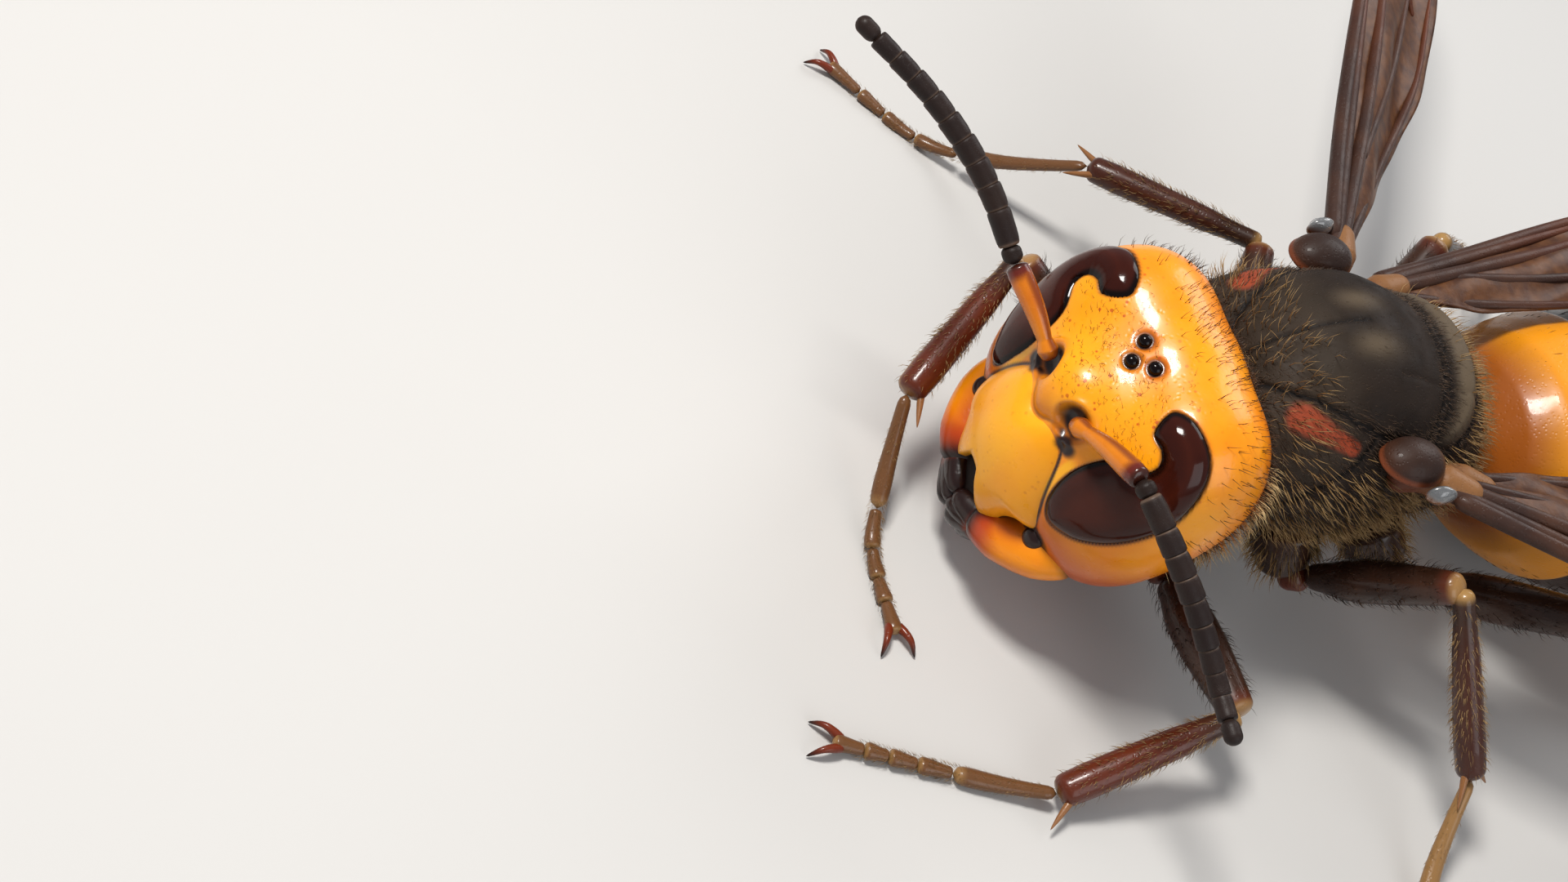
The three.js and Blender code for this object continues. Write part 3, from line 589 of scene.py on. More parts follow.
EYE_OUTLINE = [
    [52, 53], [65, 53], [76, 44], [78.5, 35], [77.5, 25], [75, 14], [69, 3],
    [60, -8], [50, -17], [42, -20.5], [37, -16], [34.5, -5], [35.5, 7],
    [40, 18], [46.5, 26], [57, 29], [59.5, 34], [57, 39], [50, 43],
]
CLYPEUS_HALF = [
    [0, 0.32], [0.35, 0.42], [0.75, 0.72], [1.15, 0.72], [1.5, 0.45], [1.9, -0.2], [2.25, -1.05],
    [2.55, -1.95], [2.62, -2.6], [2.1, -2.9], [1.75, -3.35], [1.55, -4.1], [1.3, -4.6], [1.0, -4.45],
    [0.72, -3.7], [0.42, -3.25], [0, -3.15],
]


def both_halves(half):
    """A closed outline from its left half."""
    return half + [[-x, y] for x, y in half[-2:0:-1]]


eye_loop = spline(EYE_OUTLINE, 90)
clypeus_loop = spline(both_halves(CLYPEUS_HALF), 120)


def angles_of(ways):
    """Degrees round from straight ahead and degrees up, of ways out of the head."""
    return np.column_stack([
        np.degrees(np.arctan2(ways[:, 0], -ways[:, 1])),
        np.degrees(np.arcsin(np.clip(ways[:, 2], -1, 1))),
    ])


def eye_distance(seen):
    """Degrees from the nearer eye's outline, negative inside."""
    return np.minimum(outline_distance(seen, eye_loop), outline_distance(seen * [-1, 1], eye_loop))


def plate_distance(points):
    """Distance to the face plate's outline, for points at the front of the head."""
    return np.where(points[:, 1] < -1.5, outline_distance(points[:, [0, 2]], clypeus_loop), FAR)


def ocellus_distance(points):
    return np.min([np.linalg.norm(points - middle, axis=1) for middle in OCELLI], axis=0)


# %% [markdown]
# The skin of the head sinks where the eyes sit, and keeps a dark line round them and round the face
# plate. Three small simple eyes, the ocelli, will sit on the crown, and the skin dips round each of them.

# %% Head skin
head = add_ball("head_skin", 300, 220)
ways = unit(corners_of(head))[:, [0, 2, 1]]
seen = angles_of(ways)
eye_gap = eye_distance(seen)
reach = drawn(head_field, HEAD_CORE, ways) - 0.4 * smooth(-eye_gap, -0.4, 2.0)
points = HEAD_CORE + ways * reach[:, None]
bead_gap = ocellus_distance(points)
plate_gap = plate_distance(points)
reach -= 0.05 * bell(bead_gap - 0.26, 0.07) + 0.06 * bell(plate_gap, 0.12)
points = HEAD_CORE + ways * reach[:, None]
folded = halved(points)
socket_gap = np.linalg.norm(folded - SOCKET, axis=1)
ridge_gap = np.linalg.norm((points - [0, -3.5, 0.8]) * [1.0, 0.3, 0.8], axis=1)
corner_gap = np.linalg.norm((folded - [1.5, -3.0, 0.6]) * [0.9, 0.4, 1.2], axis=1)
joint_gap = np.linalg.norm((folded - [2.75, -2.2, -2.9]) * [1.0, 0.5, 1.0], axis=1)
reach += 0.1 * bell(socket_gap - 0.66, 0.13) + 0.12 * bell(ridge_gap, 0.38)
points = HEAD_CORE + ways * reach[:, None]
move_corners(head, on_neck(points))
print("head corners:", len(points))

# %% [markdown]
# The markings follow the same distances. Seams, sockets and the rims of the ocelli are dark, and the rear
# margin reddens. The head turns deeper red-orange towards its bottom, partly the cheeks' own colour and
# partly painted shade under the head. The crown and a strip along each eye are pale, and fine pores open on
# the brow.

# %% Markings of the head
paint(
    head,
    dark=np.maximum.reduce([
        fade(np.abs(eye_gap), 0.2, 1.6),
        fade(np.abs(plate_gap), 0.02, 0.1) * (0.35 + 0.65 * smooth(folded[:, 0], 0.8, 1.1)),
        fade(corner_gap, 0.25, 0.45),
        fade(joint_gap, 0.5, 0.7),
        fade(bead_gap, 0.24, 0.34),
        fade(socket_gap, 0.4, 0.6),
    ]),
    red=np.maximum.reduce([
        0.85 * fade(socket_gap, 0.62, 0.95),
        0.7 * fade(np.abs(plate_gap - 0.25), 0.1, 0.45) * (folded[:, 0] < 1.0),
        0.75 * smooth(points[:, 1], 1.4, 3.0),
        # painted shade, over the cheeks' own red-orange: deeper red towards the bottom of the head
        0.85 * smooth(-points[:, 2], 0.2, 2.8),
        0.6 * fade(ridge_gap, 0.25, 0.7),
        0.4 * fade(eye_gap, 0.5, 3) * smooth(seen[:, 1], -30, 0),
        fade(bead_gap, 0.28, 0.56),
    ]),
    pale=np.maximum(
        0.5 * bell(points[:, 2] - 2.0, 1.6) * smooth(-points[:, 1], -1.5, 1.0),
        fade(np.abs(eye_gap - 3.2), 1.2, 3.0) * smooth(-np.abs(seen[:, 0]), -52, -42)
        * smooth(-np.abs(seen[:, 1] + 4), -16, -8),
    ),
    pores=smooth(points[:, 2], 0.8, 2.0) * smooth(-points[:, 1], -0.2, 1.2),
)
finish(head, orange_shell, "head_shell", "head")

# %% [markdown]
# Each compound eye is a dome over its C-shaped outline. A grid is laid over that part of the head,
# raised inside the outline and sunk under the skin outside it, so the edge is where the two meet.

# %% Eyes
EYE_HEIGHT = 0.3
EYE_SHELL = 0.3
EYE_MIDDLE = [57, 16]
EYE_REACH = [27, 42]


def add_eye(label, side):
    bpy.ops.object.select_all(action="DESELECT")
    bpy.ops.mesh.primitive_grid_add(x_subdivisions=110, y_subdivisions=150, size=2, location=(0, 0, 0))
    eye = bpy.context.object
    eye.name = f"eye_{label}_dome"
    seen = EYE_MIDDLE + corners_of(eye)[:, :2] * EYE_REACH
    gap = outline_distance(seen, eye_loop)
    level = np.cos(np.radians(seen[:, 1]))
    ways = np.column_stack([
        side * np.sin(np.radians(seen[:, 0])) * level,
        -np.cos(np.radians(seen[:, 0])) * level,
        np.sin(np.radians(seen[:, 1])),
    ])
    dome = EYE_HEIGHT * (1 - np.exp(np.minimum(gap, 0) / 4.5))
    reach = drawn(head_field, HEAD_CORE, ways) + np.where(gap < 0, dome, -0.12 * gap)
    move_corners(eye, on_neck(HEAD_CORE + ways * reach[:, None]))
    paint(eye, dark=smooth(gap, -2.2, -0.6), red=0.35 * smooth(-gap, 5, 12))
    bpy.ops.object.mode_set(mode="EDIT")
    bpy.ops.mesh.select_all(action="DESELECT")
    bpy.ops.object.mode_set(mode="OBJECT")
    eye.data.vertices.foreach_set("select", gap > 2.2)
    bpy.ops.object.mode_set(mode="EDIT")
    bpy.ops.mesh.select_mode(type="VERT")
    bpy.ops.mesh.delete(type="VERT")
    bpy.ops.object.mode_set(mode="OBJECT")
    shell = eye.modifiers.new("shell", "SOLIDIFY")
    shell.thickness = EYE_SHELL * MM
    shell.offset = -1 if side > 0 else 1
    bpy.ops.object.modifier_apply(modifier=shell.name)
    finish(eye, eye_shell, "eye", f"eye_{label}")


for label, side in SIDES:
    add_eye(label, side)

# %% [markdown]
# The ocelli are three black glass beads, each a ball sunk halfway into the crown.

# %% Ocelli
beads = []
for middle in OCELLI:
    bead = add_ball("ocellus", 32, 20)
    move_corners(bead, on_neck(middle + corners_of(bead) * OCELLUS_SIZE * [1, 1, 0.9]))
    paint(bead, dark=1.0)
    beads.append(bead)
finish(join_pieces("ocelli", beads), eye_shell, "eye")

# %% [markdown]
# The face plate, the clypeus, is a flat cushion inside its own outline, curved like the face behind it
# and drawn out below into two rounded teeth.

# %% Face plate
CLYPEUS_MIDDLE = np.array([0, -1.8])
plate = add_ball("clypeus_plate", 160, 80)
ball = corners_of(plate)[:, [0, 2, 1]]
angle = np.arctan2(ball[:, 2], ball[:, 0])
loop_offset = clypeus_loop - CLYPEUS_MIDDLE
loop_angle = np.arctan2(loop_offset[:, 1], loop_offset[:, 0])
order = np.argsort(loop_angle)
span = np.interp(angle, loop_angle[order], np.linalg.norm(loop_offset, axis=1)[order], period=2 * np.pi)
out = np.hypot(ball[:, 0], ball[:, 2])
spread = np.where(out < 1, 1 - (1 - out) ** 1.6, 1)
flat = CLYPEUS_MIDDLE + np.column_stack([np.cos(angle), np.sin(angle)]) * (span * spread)[:, None]
curve = 1 - (flat[:, 0] / 4.0) ** 2 - ((flat[:, 1] + 1.6) / 5.2) ** 2
face = -0.6 - 3.3 * np.sqrt(np.clip(curve, 0.05, 1))
cushion = 0.42 * (1 - spread ** 7)
swell = 0.12 * np.exp(-((flat[:, 0] / 1.1) ** 2) - ((flat[:, 1] + 1.4) / 1.2) ** 2)
depth = np.where(ball[:, 1] < 0, 0.38 - cushion - swell, 0.75)
points = np.column_stack([flat[:, 0], face + depth, flat[:, 1]])
move_corners(plate, on_neck(points))
paint(
    plate,
    dark=np.maximum(
        smooth(spread, 0.985, 0.998),
        fade(np.hypot(np.abs(flat[:, 0]) - 1.42, flat[:, 1] - 0.62), 0.2, 0.36),
    ),
    red=np.maximum(0.3 * smooth(-flat[:, 1], 3.0, 4.3), 0.6 * smooth(spread, 0.93, 0.99)),
    pale=0.5 + 0.3 * smooth(np.abs(flat[:, 0]), 1.2, 0.4),
    pores=0.3,
)
finish(plate, orange_shell, "face_plate", "clypeus")

# %% [markdown]
# Jaws, antennae and legs are tapered bars that follow a curved route. Their balls are stretched along
# the route from one pole to the other, so each one closes in a rounded end of its own.

# %% Bars along routes
def frames_along(route, up):
    """Tangent, side and up of every sample of a route."""
    tangent = unit(np.gradient(route, axis=0))
    side = unit(np.cross(tangent, up))
    return tangent, side, np.cross(side, tangent)


BAR_SAMPLES = 160


def rod(start, end):
    """A straight route, with its middle."""
    return [start, (start + end) / 2, end]


def bar_points(ball, route, radii, flat=1.0, up=(0, 0, 1), cap=0.12):
    """Ball corners laid along a route. Also gives how far along and the angle round of each."""
    along = np.arccos(np.clip(-ball[:, 2], -1, 1)) / np.pi
    angle = np.arctan2(ball[:, 1], ball[:, 0])
    samples = spline(route, BAR_SAMPLES, closed=False)
    tangent, side, above = frames_along(samples, np.array(up, float))
    places = np.linspace(0, 1, len(samples))
    thick = np.interp(along, np.linspace(0, 1, len(radii)), radii)
    end = np.minimum(along, 1 - along) / cap
    thick = thick * np.sqrt(np.clip(1 - (1 - np.minimum(end, 1)) ** 2, 0, 1))
    points = sampled(along, places, samples)
    points = points + sampled(along, places, side) * (np.cos(angle) * thick)[:, None]
    points = points + sampled(along, places, above) * (np.sin(angle) * thick * flat)[:, None]
    return points, along, angle


def add_bar(name, route, radii, segments=24, rings=40, **shape):
    """A bar piece with its corners in place, and where each corner lies on it."""
    piece = add_ball(name, segments, rings)
    points, along, angle = bar_points(unit(corners_of(piece)), route, radii, **shape)
    move_corners(piece, points)
    return piece, along, angle


# %% [markdown]
# The jaws close in front of the mouth. Each is a broad orange blade with a dark root and four black
# teeth, the lowest of them the longest, and it hangs from a round black joint.

# %% Jaws
MANDIBLE_ROUTE = [[3.2, -1.0, -2.75], [2.9, -1.75, -3.45], [1.95, -2.45, -4.2], [0.75, -2.8, -4.85]]
TOOTH_ROOT = np.array([1.3, -2.6, -4.75])
MANDIBLE_TEETH = [[0.12, -3.05, -6.0], [-0.1, -3.2, -5.5], [-0.05, -3.25, -4.95], [0.6, -2.85, -5.95]]


def add_jaw(label, side):
    blade, along, angle = add_bar(
        f"jaw_{label}", on_neck(mirrored(MANDIBLE_ROUTE, side)), [0.95, 1.0, 0.95, 0.68],
        segments=64, rings=60, flat=0.85, up=HEAD_MATRIX @ [0, 0.5, -1], cap=0.16,
    )
    groove = bell(along - 0.6, 0.25)
    paint(blade, dark=np.maximum(smooth(along, 0.72, 0.9), fade(along, 0.08, 0.19)),
          red=np.maximum(0.8 * groove * (0.5 + 0.5 * np.sin(angle * 3)), smooth(along, 0.5, 0.75)))
    parts = [blade]
    for tooth in MANDIBLE_TEETH:
        peg, along, _ = add_bar(
            "tooth", on_neck(mirrored(rod(TOOTH_ROOT, np.array(tooth)), side)), [0.6, 0.58, 0.46, 0.24],
            segments=20, rings=20, up=[0.3, 1, 0.2], cap=0.2,
        )
        paint(peg, dark=smooth(along, 0.0, 0.4), red=1.0)
        parts.append(peg)
    hinge = add_ball("jaw_joint", 32, 20)
    swollen = np.array([2.7, -2.32, -3.0]) + unit(corners_of(hinge)) * [0.42, 0.42, 0.46]
    move_corners(hinge, on_neck(mirrored(swollen, side)))
    paint(hinge, dark=1.0)
    parts.append(hinge)
    finish(join_pieces(f"jaw_{label}", parts), orange_shell, "face_plate", f"mandible_{label}")


for label, side in SIDES:
    add_jaw(label, side)

# %% [markdown]
# Behind the plate and between the jaws lies the dark upper lip, so that no light shows through there.

# %% Upper lip
lip = add_ball("upper_lip", 64, 40)
ball = unit(corners_of(lip))
move_corners(lip, on_neck(np.array([0, -2.3, -4.55]) + ball * [1.6, 0.75, 1.25]))
paint(lip, dark=1.0)
finish(lip, antenna_shell, "face_plate")

# %% [markdown]
# An antenna starts in its socket with a long orange scape, turns at a small dark pedicel, and goes on as
# a chain of ten black rings, each a little slimmer than the last and with a pale line at its joint.

# %% Antennae
ANTENNA_ROUTES = {
    "left": [
        [4.05, -2.95, 3.05], [5.75, -2.3, 2.6], [7.75, -1.45, 1.75], [9.7, -0.8, 0.8], [11.4, -0.85, 0.7],
    ],
    "right": [[-3.62, -4.35, 2.62], [-5.7, -5.3, 3.7], [-7.95, -6.9, 4.55], [-10.35, -9.2, 5.15]],
}
RINGS_OF_FLAGELLUM = 10
SCAPE_RADIUS = 0.35
FLAGELLUM_RADIUS = 0.385
CHAIN_SAMPLES = 400


def add_antenna(label, side):
    route = np.array(ANTENNA_ROUTES[label])
    root = mirrored(SOCKET, side) - [0, 0.05, 0]
    middle = (root + route[0]) / 2 + [0, 0, 0.12]
    scape, along, angle = add_bar(
        f"scape_{label}", on_neck([root, middle, route[0]]),
        SCAPE_RADIUS * np.array([0.62, 0.95, 0.66, 0.78, 0.88, 0.95, 1, 1.04, 1.05, 0.95]),
        segments=40, rings=80, cap=0.04,
    )
    paint(scape, dark=0.85 * smooth(along, 0.93, 0.98),
          red=np.maximum.reduce([0.8 * smooth(np.sin(angle), 0.75, 1.0), smooth(along, 0.8, 0.92),
                                 0.8 * fade(along, 0.04, 0.14)]))
    finish(scape, scape_shell, "antenna_base", f"scape_{label}")
    line = spline(route, CHAIN_SAMPLES, closed=False)
    ends = np.concatenate([[0.0, 0.07], np.linspace(0.2, 1.0, RINGS_OF_FLAGELLUM)])
    beads = []
    for index, (start, end) in enumerate(zip(ends, ends[1:])):
        part = line[max(int(start * CHAIN_SAMPLES) - (4 if index else 14), 0):int(end * CHAIN_SAMPLES) + 1]
        radius = FLAGELLUM_RADIUS * np.interp(index, [0, 1, 4, RINGS_OF_FLAGELLUM], [0.82, 0.95, 1.0, 0.74])
        bead, along, angle = add_bar(
            "ring", on_neck(part[[0, len(part) // 2, -1]]), radius * np.array([0.86, 0.97, 1, 1, 1.02, 0.98]),
            segments=28, rings=24, cap=[0.4, 0.07, 0.35][(index > 0) + (index == RINGS_OF_FLAGELLUM)],
        )
        paint(bead, dark=0.5 * (index < 1), pale=0.45 * fade(along, 0.08, 0.14) * (index > 0),
              red=0.2 * smooth(-np.sin(angle), 0.2, 1.0) * (index > 1))
        beads.append(bead)
    finish(join_pieces(f"flagellum_{label}", beads), antenna_shell, "antenna", f"flagellum_{label}")


for label, side in SIDES:
    add_antenna(label, side)

# %% [markdown]
# The thorax is one velvety block. Its plates are told apart by fine grooves: the pronotum collar, the
# big mesoscutum with its middle line and two short furrows, the raised scutellum, and the sloping rear.

# %% Thorax
THORAX_LUMPS = [
    *one([0, -0.9, 0.2], [4.15, 4.3, 3.95]),
    *one([0, -0.2, -1.0], [3.9, 4.6, 3.4]),
    *both_sides([1.9, -3.0, 0.3], [2.1, 2.5, 2.5]),
    *one([0, 2.2, 1.0], [3.2, 2.3, 2.5]),
    *one([0, 3.5, -0.9], [3.2, 2.6, 2.9]),
]
SCUTUM_HALF = [
    [0, -5.2], [1.5, -4.5], [2.45, -3.2], [3.15, -1.7], [3.4, -0.3], [3.3, 0.9], [2.3, 1.6], [0, 1.75],
]
SCUTELLUM_HALF = [[0, 2.05], [2.2, 1.95], [3.1, 1.6], [3.1, 2.4], [2.3, 3.3], [0, 3.75]]
PRONOTUM_EDGE = [[-1.3, 7], [-1.2, 2.9], [-1.7, 1.9], [-3.2, 0.2], [-4.1, -2.4], [-4.4, -7]]
PROPODEUM_EDGE = [[3.4, 7], [3.2, 1.6], [2.7, 0.3], [2.9, -2.2], [3.6, -7]]
PLATE_LOW = 0.9


def thorax_field(points):
    return form_field(points, THORAX_LUMPS, [])


thorax = add_ball("thorax_skin", 280, 230)
ways = unit(corners_of(thorax))[:, [0, 2, 1]]
reach = drawn(thorax_field, np.zeros(3), ways)
points = ways * reach[:, None]
top = smooth(points[:, 2], PLATE_LOW - 0.2, PLATE_LOW + 0.2)
scutum_gap = outline_distance(points[:, :2], spline(both_halves(SCUTUM_HALF), 120))
scutellum_gap = outline_distance(points[:, :2], spline(both_halves(SCUTELLUM_HALF), 120))
collar_gap = line_distance(points[:, 1:], spline(PRONOTUM_EDGE, 60, closed=False), False)
rear_gap = line_distance(points[:, 1:], spline(PROPODEUM_EDGE, 60, closed=False), False)
off_scutum = np.where((scutum_gap < 0) & (top > 0.5), FAR, 0)
off_scutellum = np.where((scutellum_gap < 0) & (top > 0.5), FAR, 0)
seam = np.minimum.reduce([
    np.abs(scutum_gap) + FAR * (1 - top),
    np.abs(scutellum_gap) + FAR * (1 - top),
    collar_gap + off_scutum,
    rear_gap + off_scutellum,
])
middle_line = np.abs(points[:, 0]) + FAR * (1 - top) + FAR * smooth(points[:, 1], -1.2, -0.6)
furrow = np.abs(np.abs(points[:, 0]) - 1.75) + FAR * (1 - top) + FAR * smooth(-points[:, 1], 0.6, 1.2)
reach += 0.22 * smooth(-scutellum_gap, 0.1, 1.0) * top
reach += 0.1 * smooth(-scutum_gap, 0.1, 0.8) * top
reach -= 0.12 * bell(seam, 0.1)
reach -= 0.06 * bell(middle_line, 0.08) + 0.04 * bell(furrow, 0.08)
move_corners(thorax, ways * reach[:, None])
side_way = halved(points)
band_start, band_end = np.array([2.65, -3.9, 2.5]), np.array([3.5, -2.1, 2.2])
band_run = band_end - band_start
band_at = np.clip((side_way - band_start) @ band_run / (band_run @ band_run), 0, 1)
band_gap = np.linalg.norm(side_way - band_start - band_at[:, None] * band_run, axis=1)
spot = np.exp(-(((np.abs(points[:, 0]) - 0.85) / 0.42) ** 2) - ((points[:, 1] + 1.3) / 0.75) ** 2)
paint(
    thorax,
    dark=np.maximum(bell(seam, 0.09), 0.8 * bell(middle_line, 0.08)),
    red=0.9 * fade(band_gap, 0.3 - 0.15 * band_at, 0.62 - 0.3 * band_at),
    pale=np.maximum.reduce([
        0.8 * smooth(-scutellum_gap, 0.0, 0.5) * top,
        0.65 * spot * top,
        0.15 * top * smooth(-points[:, 1], 1.5, 3.0),
    ]),
)
finish(thorax, thorax_shell, "thorax", "pronotum", "mesoscutum", "scutellum", "mesothorax", "propodeum")

# %% [markdown]
# Two soft stalks of dark membrane hold the body together: the neck, and the waist with its narrow ring.

# %% Neck and waist
neck, *_ = add_bar(
    "neck_membrane", [[0.42, -6.9, -0.75], [0.2, -5.4, -0.7], [0, -4.0, -0.5]],
    [0.9, 0.95, 0.88, 0.95, 0.88, 0.95, 0.9], segments=48, rings=60, cap=0.08,
)
paint(neck, dark=0.4)
finish(neck, leg_shell, "joint_membrane", "neck")
waist, *_ = add_bar(
    "waist_ring", [[0, 4.6, -1.45], [0, 6.0, -1.55], [0, 7.2, -1.65]],
    [0.75, 0.7, 0.66, 0.62, 0.7, 0.74, 0.75], segments=48, rings=60, cap=0.08,
)
paint(waist, red=0.3)
finish(waist, leg_shell, "joint_membrane", "petiole")

# %% [markdown]
# A tegula is the small brown shield over the root of each pair of wings.

# %% Shields over the wing roots
TEGULA_AT = np.array([4.05, -0.15, 2.35])
TEGULA_SIZE = np.array([0.85, 1.15, 0.75])


def add_shield(label, side):
    shield = add_ball(f"tegula_{label}_shield", 64, 40)
    ball = unit(corners_of(shield))
    lip = 1 + 0.06 * bell(ball[:, 2] + 0.1, 0.15)
    sized = ball * TEGULA_SIZE * lip[:, None]
    sized[:, 2] = np.where(sized[:, 2] < 0, sized[:, 2] * 0.6, sized[:, 2])
    move_corners(shield, mirrored(TEGULA_AT + sized, side))
    rim = fade(np.abs(ball[:, 2] + 0.05), 0.1, 0.3)
    paint(shield, dark=0.55 * smooth(ball[:, 2], 0.2, 0.8), red=0.6 * rim)
    finish(shield, vein_shell, "thorax", f"tegula_{label}")


for label, side in SIDES:
    add_shield(label, side)

# %% [markdown]
# Beside each shield a small bare plate of the wing's hinge shines. Its dull silvery grey is a painted
# reflection of that shine, over a clear coat that gives the real glint.

# %% Hinge plates
HINGE_AT = np.array([5.31, 0.33, 2.45])
for label, side in SIDES:
    hinge = add_ball(f"hinge_plate_{label}", 48, 32)
    ball = unit(corners_of(hinge))
    swell = 1 + 0.12 * np.sin(ball[:, 0] * 4) * ball[:, 1]
    move_corners(hinge, mirrored(HINGE_AT + ball * [0.24, 0.5, 0.4] * swell[:, None], side))
    paint(hinge, red=smooth(-ball[:, 2], -0.2, 0.4))
    finish(hinge, painted_reflection_shell, "wing")

# %% [markdown]
# The abdomen, or gaster, is six telescoped rings. Each rim overlaps the next and carries an orange band
# on a dark shell. Only the front of the first ring shows in the photograph, so the rest follows the
# usual markings of the species.

# %% Abdomen
ABDOMEN_LINE = [[0, 6.1, -1.6], [0, 10, -1.9], [0, 16, -2.6], [0, 22, -3.9], [0, 26.8, -5.2]]
ABDOMEN_ENDS = [0.3, 4.2, 8.6, 12.3, 15.5, 18.3, 21.0]
ABDOMEN_WIDTHS = [
    [1.1, 3.1, 4.1, 4.6, 4.95], [4.9, 5.2, 5.4, 5.5, 5.5], [5.4, 5.5, 5.45, 5.35, 5.2],
    [5.1, 5.05, 4.9, 4.7, 4.45], [4.35, 4.2, 3.9, 3.55, 3.15], [3.0, 2.7, 2.2, 1.5, 0.45],
]
ABDOMEN_TALL = 0.86
TUCK = 0.7
abdomen_line = spline(ABDOMEN_LINE, 600, closed=False)
abdomen_long = np.linalg.norm(np.diff(abdomen_line, axis=0), axis=1).sum()


def abdomen_points(along, radius, angle):
    """Points round the abdomen's line, at a way along it, a radius and an angle from straight up."""
    tangent = unit(np.gradient(abdomen_line, axis=0))
    places = np.linspace(0, abdomen_long, len(abdomen_line))
    middle = sampled(along, places, abdomen_line)
    ahead = unit(sampled(along, places, tangent))
    above = unit(np.cross(np.broadcast_to([1.0, 0, 0], ahead.shape), ahead))
    overshoot = (along - np.clip(along, 0, abdomen_long))[:, None]
    across = (np.sin(angle) * radius)[:, None] * [1.0, 0, 0]
    return middle + ahead * overshoot + across + above * (np.cos(angle) * radius * ABDOMEN_TALL)[:, None]


def add_abdomen_ring(index):
    start, end = ABDOMEN_ENDS[index:index + 2]
    widths = ABDOMEN_WIDTHS[index]
    inner = widths[0] - 0.25 if index else widths[0]
    tucked = start - (TUCK if index else 0)
    stations = [[tucked, 0], [tucked, inner * 0.7], [tucked + 0.1, inner]]
    stations += [[start + (end - start) * k / 4, w] for k, w in enumerate(widths)]
    if index < 5:
        stations += [[end + 0.22, widths[-1] + 0.02], [end + 0.26, widths[-1] - 0.12],
                     [end - 0.3, widths[-1] - 0.22], [end - 0.3, 0]]
    else:
        stations += [[end + 0.2, 0]]
    stations = np.array(stations, float)
    steps = np.concatenate([[0], np.cumsum(np.linalg.norm(np.diff(stations, axis=0), axis=1) + 0.25)])
    ring = add_ball(f"abdomen_{index + 1}_ring", 120, 80)
    ball = unit(corners_of(ring))
    t = np.arccos(np.clip(-ball[:, 2], -1, 1)) / np.pi * steps[-1]
    angle = np.arctan2(ball[:, 0], ball[:, 1])
    along = np.interp(t, steps, stations[:, 0])
    radius = np.interp(t, steps, stations[:, 1])
    move_corners(ring, abdomen_points(along, radius, angle))
    part = (along - start) / (end - start)
    wave = 0.08 * np.cos(angle * 2) + 0.05 * np.cos(angle * 5)
    band = [-1, 0.8, 0.82, 0.85, 0.86, -1][index]
    is_first, is_last = index == 0, index == 5
    front = fade(part, 0.2, 0.6) * is_first
    rusty = bell(part - band - wave, 0.12) * (not is_first and not is_last)
    paint(
        ring,
        pale=smooth(part, band + wave - 0.06, band + wave + 0.06) - 0.75 * front - 0.12 * is_first,
        red=rusty + (0.3 + 0.6 * front) * is_first,
        dark=0.7 * smooth(part, 1.03, 1.06) * (not is_last),
    )
    finish(ring, abdomen_shell, "abdomen" if index else "abdomen_band", f"abdomen_{index + 1}")


for index in range(6):
    add_abdomen_ring(index)

# %% [markdown]
# The legs bend at the knee, which a small triangle finds from the hip and the ankle. Thigh and shin are
# tapered rods, the shin ends in spurs, and the foot is a chain of five joints with two claws.

# %% Legs
LEG_SIZES = {
    "fore": {"hip": [2.0, -3.4, -3.2], "coxa": [2.8, -4.8, -5.1], "femur": 6.2, "tibia": 6.4, "thick": 0.78},
    "mid": {"hip": [2.3, -0.2, -3.6], "coxa": [3.4, 0.2, -5.3], "femur": 6.7, "tibia": 6.9, "thick": 0.72},
    "hind": {"hip": [2.2, 3.0, -3.4], "coxa": [3.5, 4.4, -5.1], "femur": 8.0, "tibia": 9.0, "thick": 0.78},
}
STANCES = {
    "fore_left": {
        "ankle": [10.1, -9.8, -7.35], "knee": [9.2, -3.4, -4.4], "foot": [[9.4, -12.0], [7.9, -16.8]],
    },
    "fore_right": {
        "ankle": [-2.8, -12.7, -4.5], "knee": [-6.7, -7.3, -2.2], "foot": [[0.9, -13.5], [4.2, -13.6]],
    },
    "mid_left": {
        "ankle": [11.2, 4.6, -5.2], "knee": [7.5, 2.6, -0.3], "foot": [[14.6, 2.8], [19.6, 0.2]],
    },
    "mid_right": {
        "ankle": [-13.2, -2.4, -4.0], "knee": [-9.1, 2.6, -2.8], "foot": [[-17.2, -6.4], [-20.7, -9.4]],
    },
    "hind_left": {
        "ankle": [12.0, 15.5, -5.6], "knee": [8.5, 9.0, 0], "foot": [[13.8, 19.2], [15.8, 26.3]],
    },
    "hind_right": {
        "ankle": [-10.5, 16.4, -5.6], "knee": [-8.5, 9.5, 0], "foot": [[-12.3, 20.0], [-15.2, 27.2]],
    },
}
FOOT_RADIUS = 0.36
FOOT_HEIGHT = 0.3
FOOT_JOINTS = [0, 0.46, 0.62, 0.75, 0.86, 1]


def knee_of(hip_end, ankle, femur, tibia, hint):
    span = ankle - hip_end
    length = np.linalg.norm(span)
    foot = (femur ** 2 - tibia ** 2 + length ** 2) / (2 * length)
    base = hip_end + span / length * foot
    out = hint - base
    out = unit(out - span * (out @ span) / length ** 2)
    return base + out * np.sqrt(max(femur ** 2 - foot ** 2, 0.01))


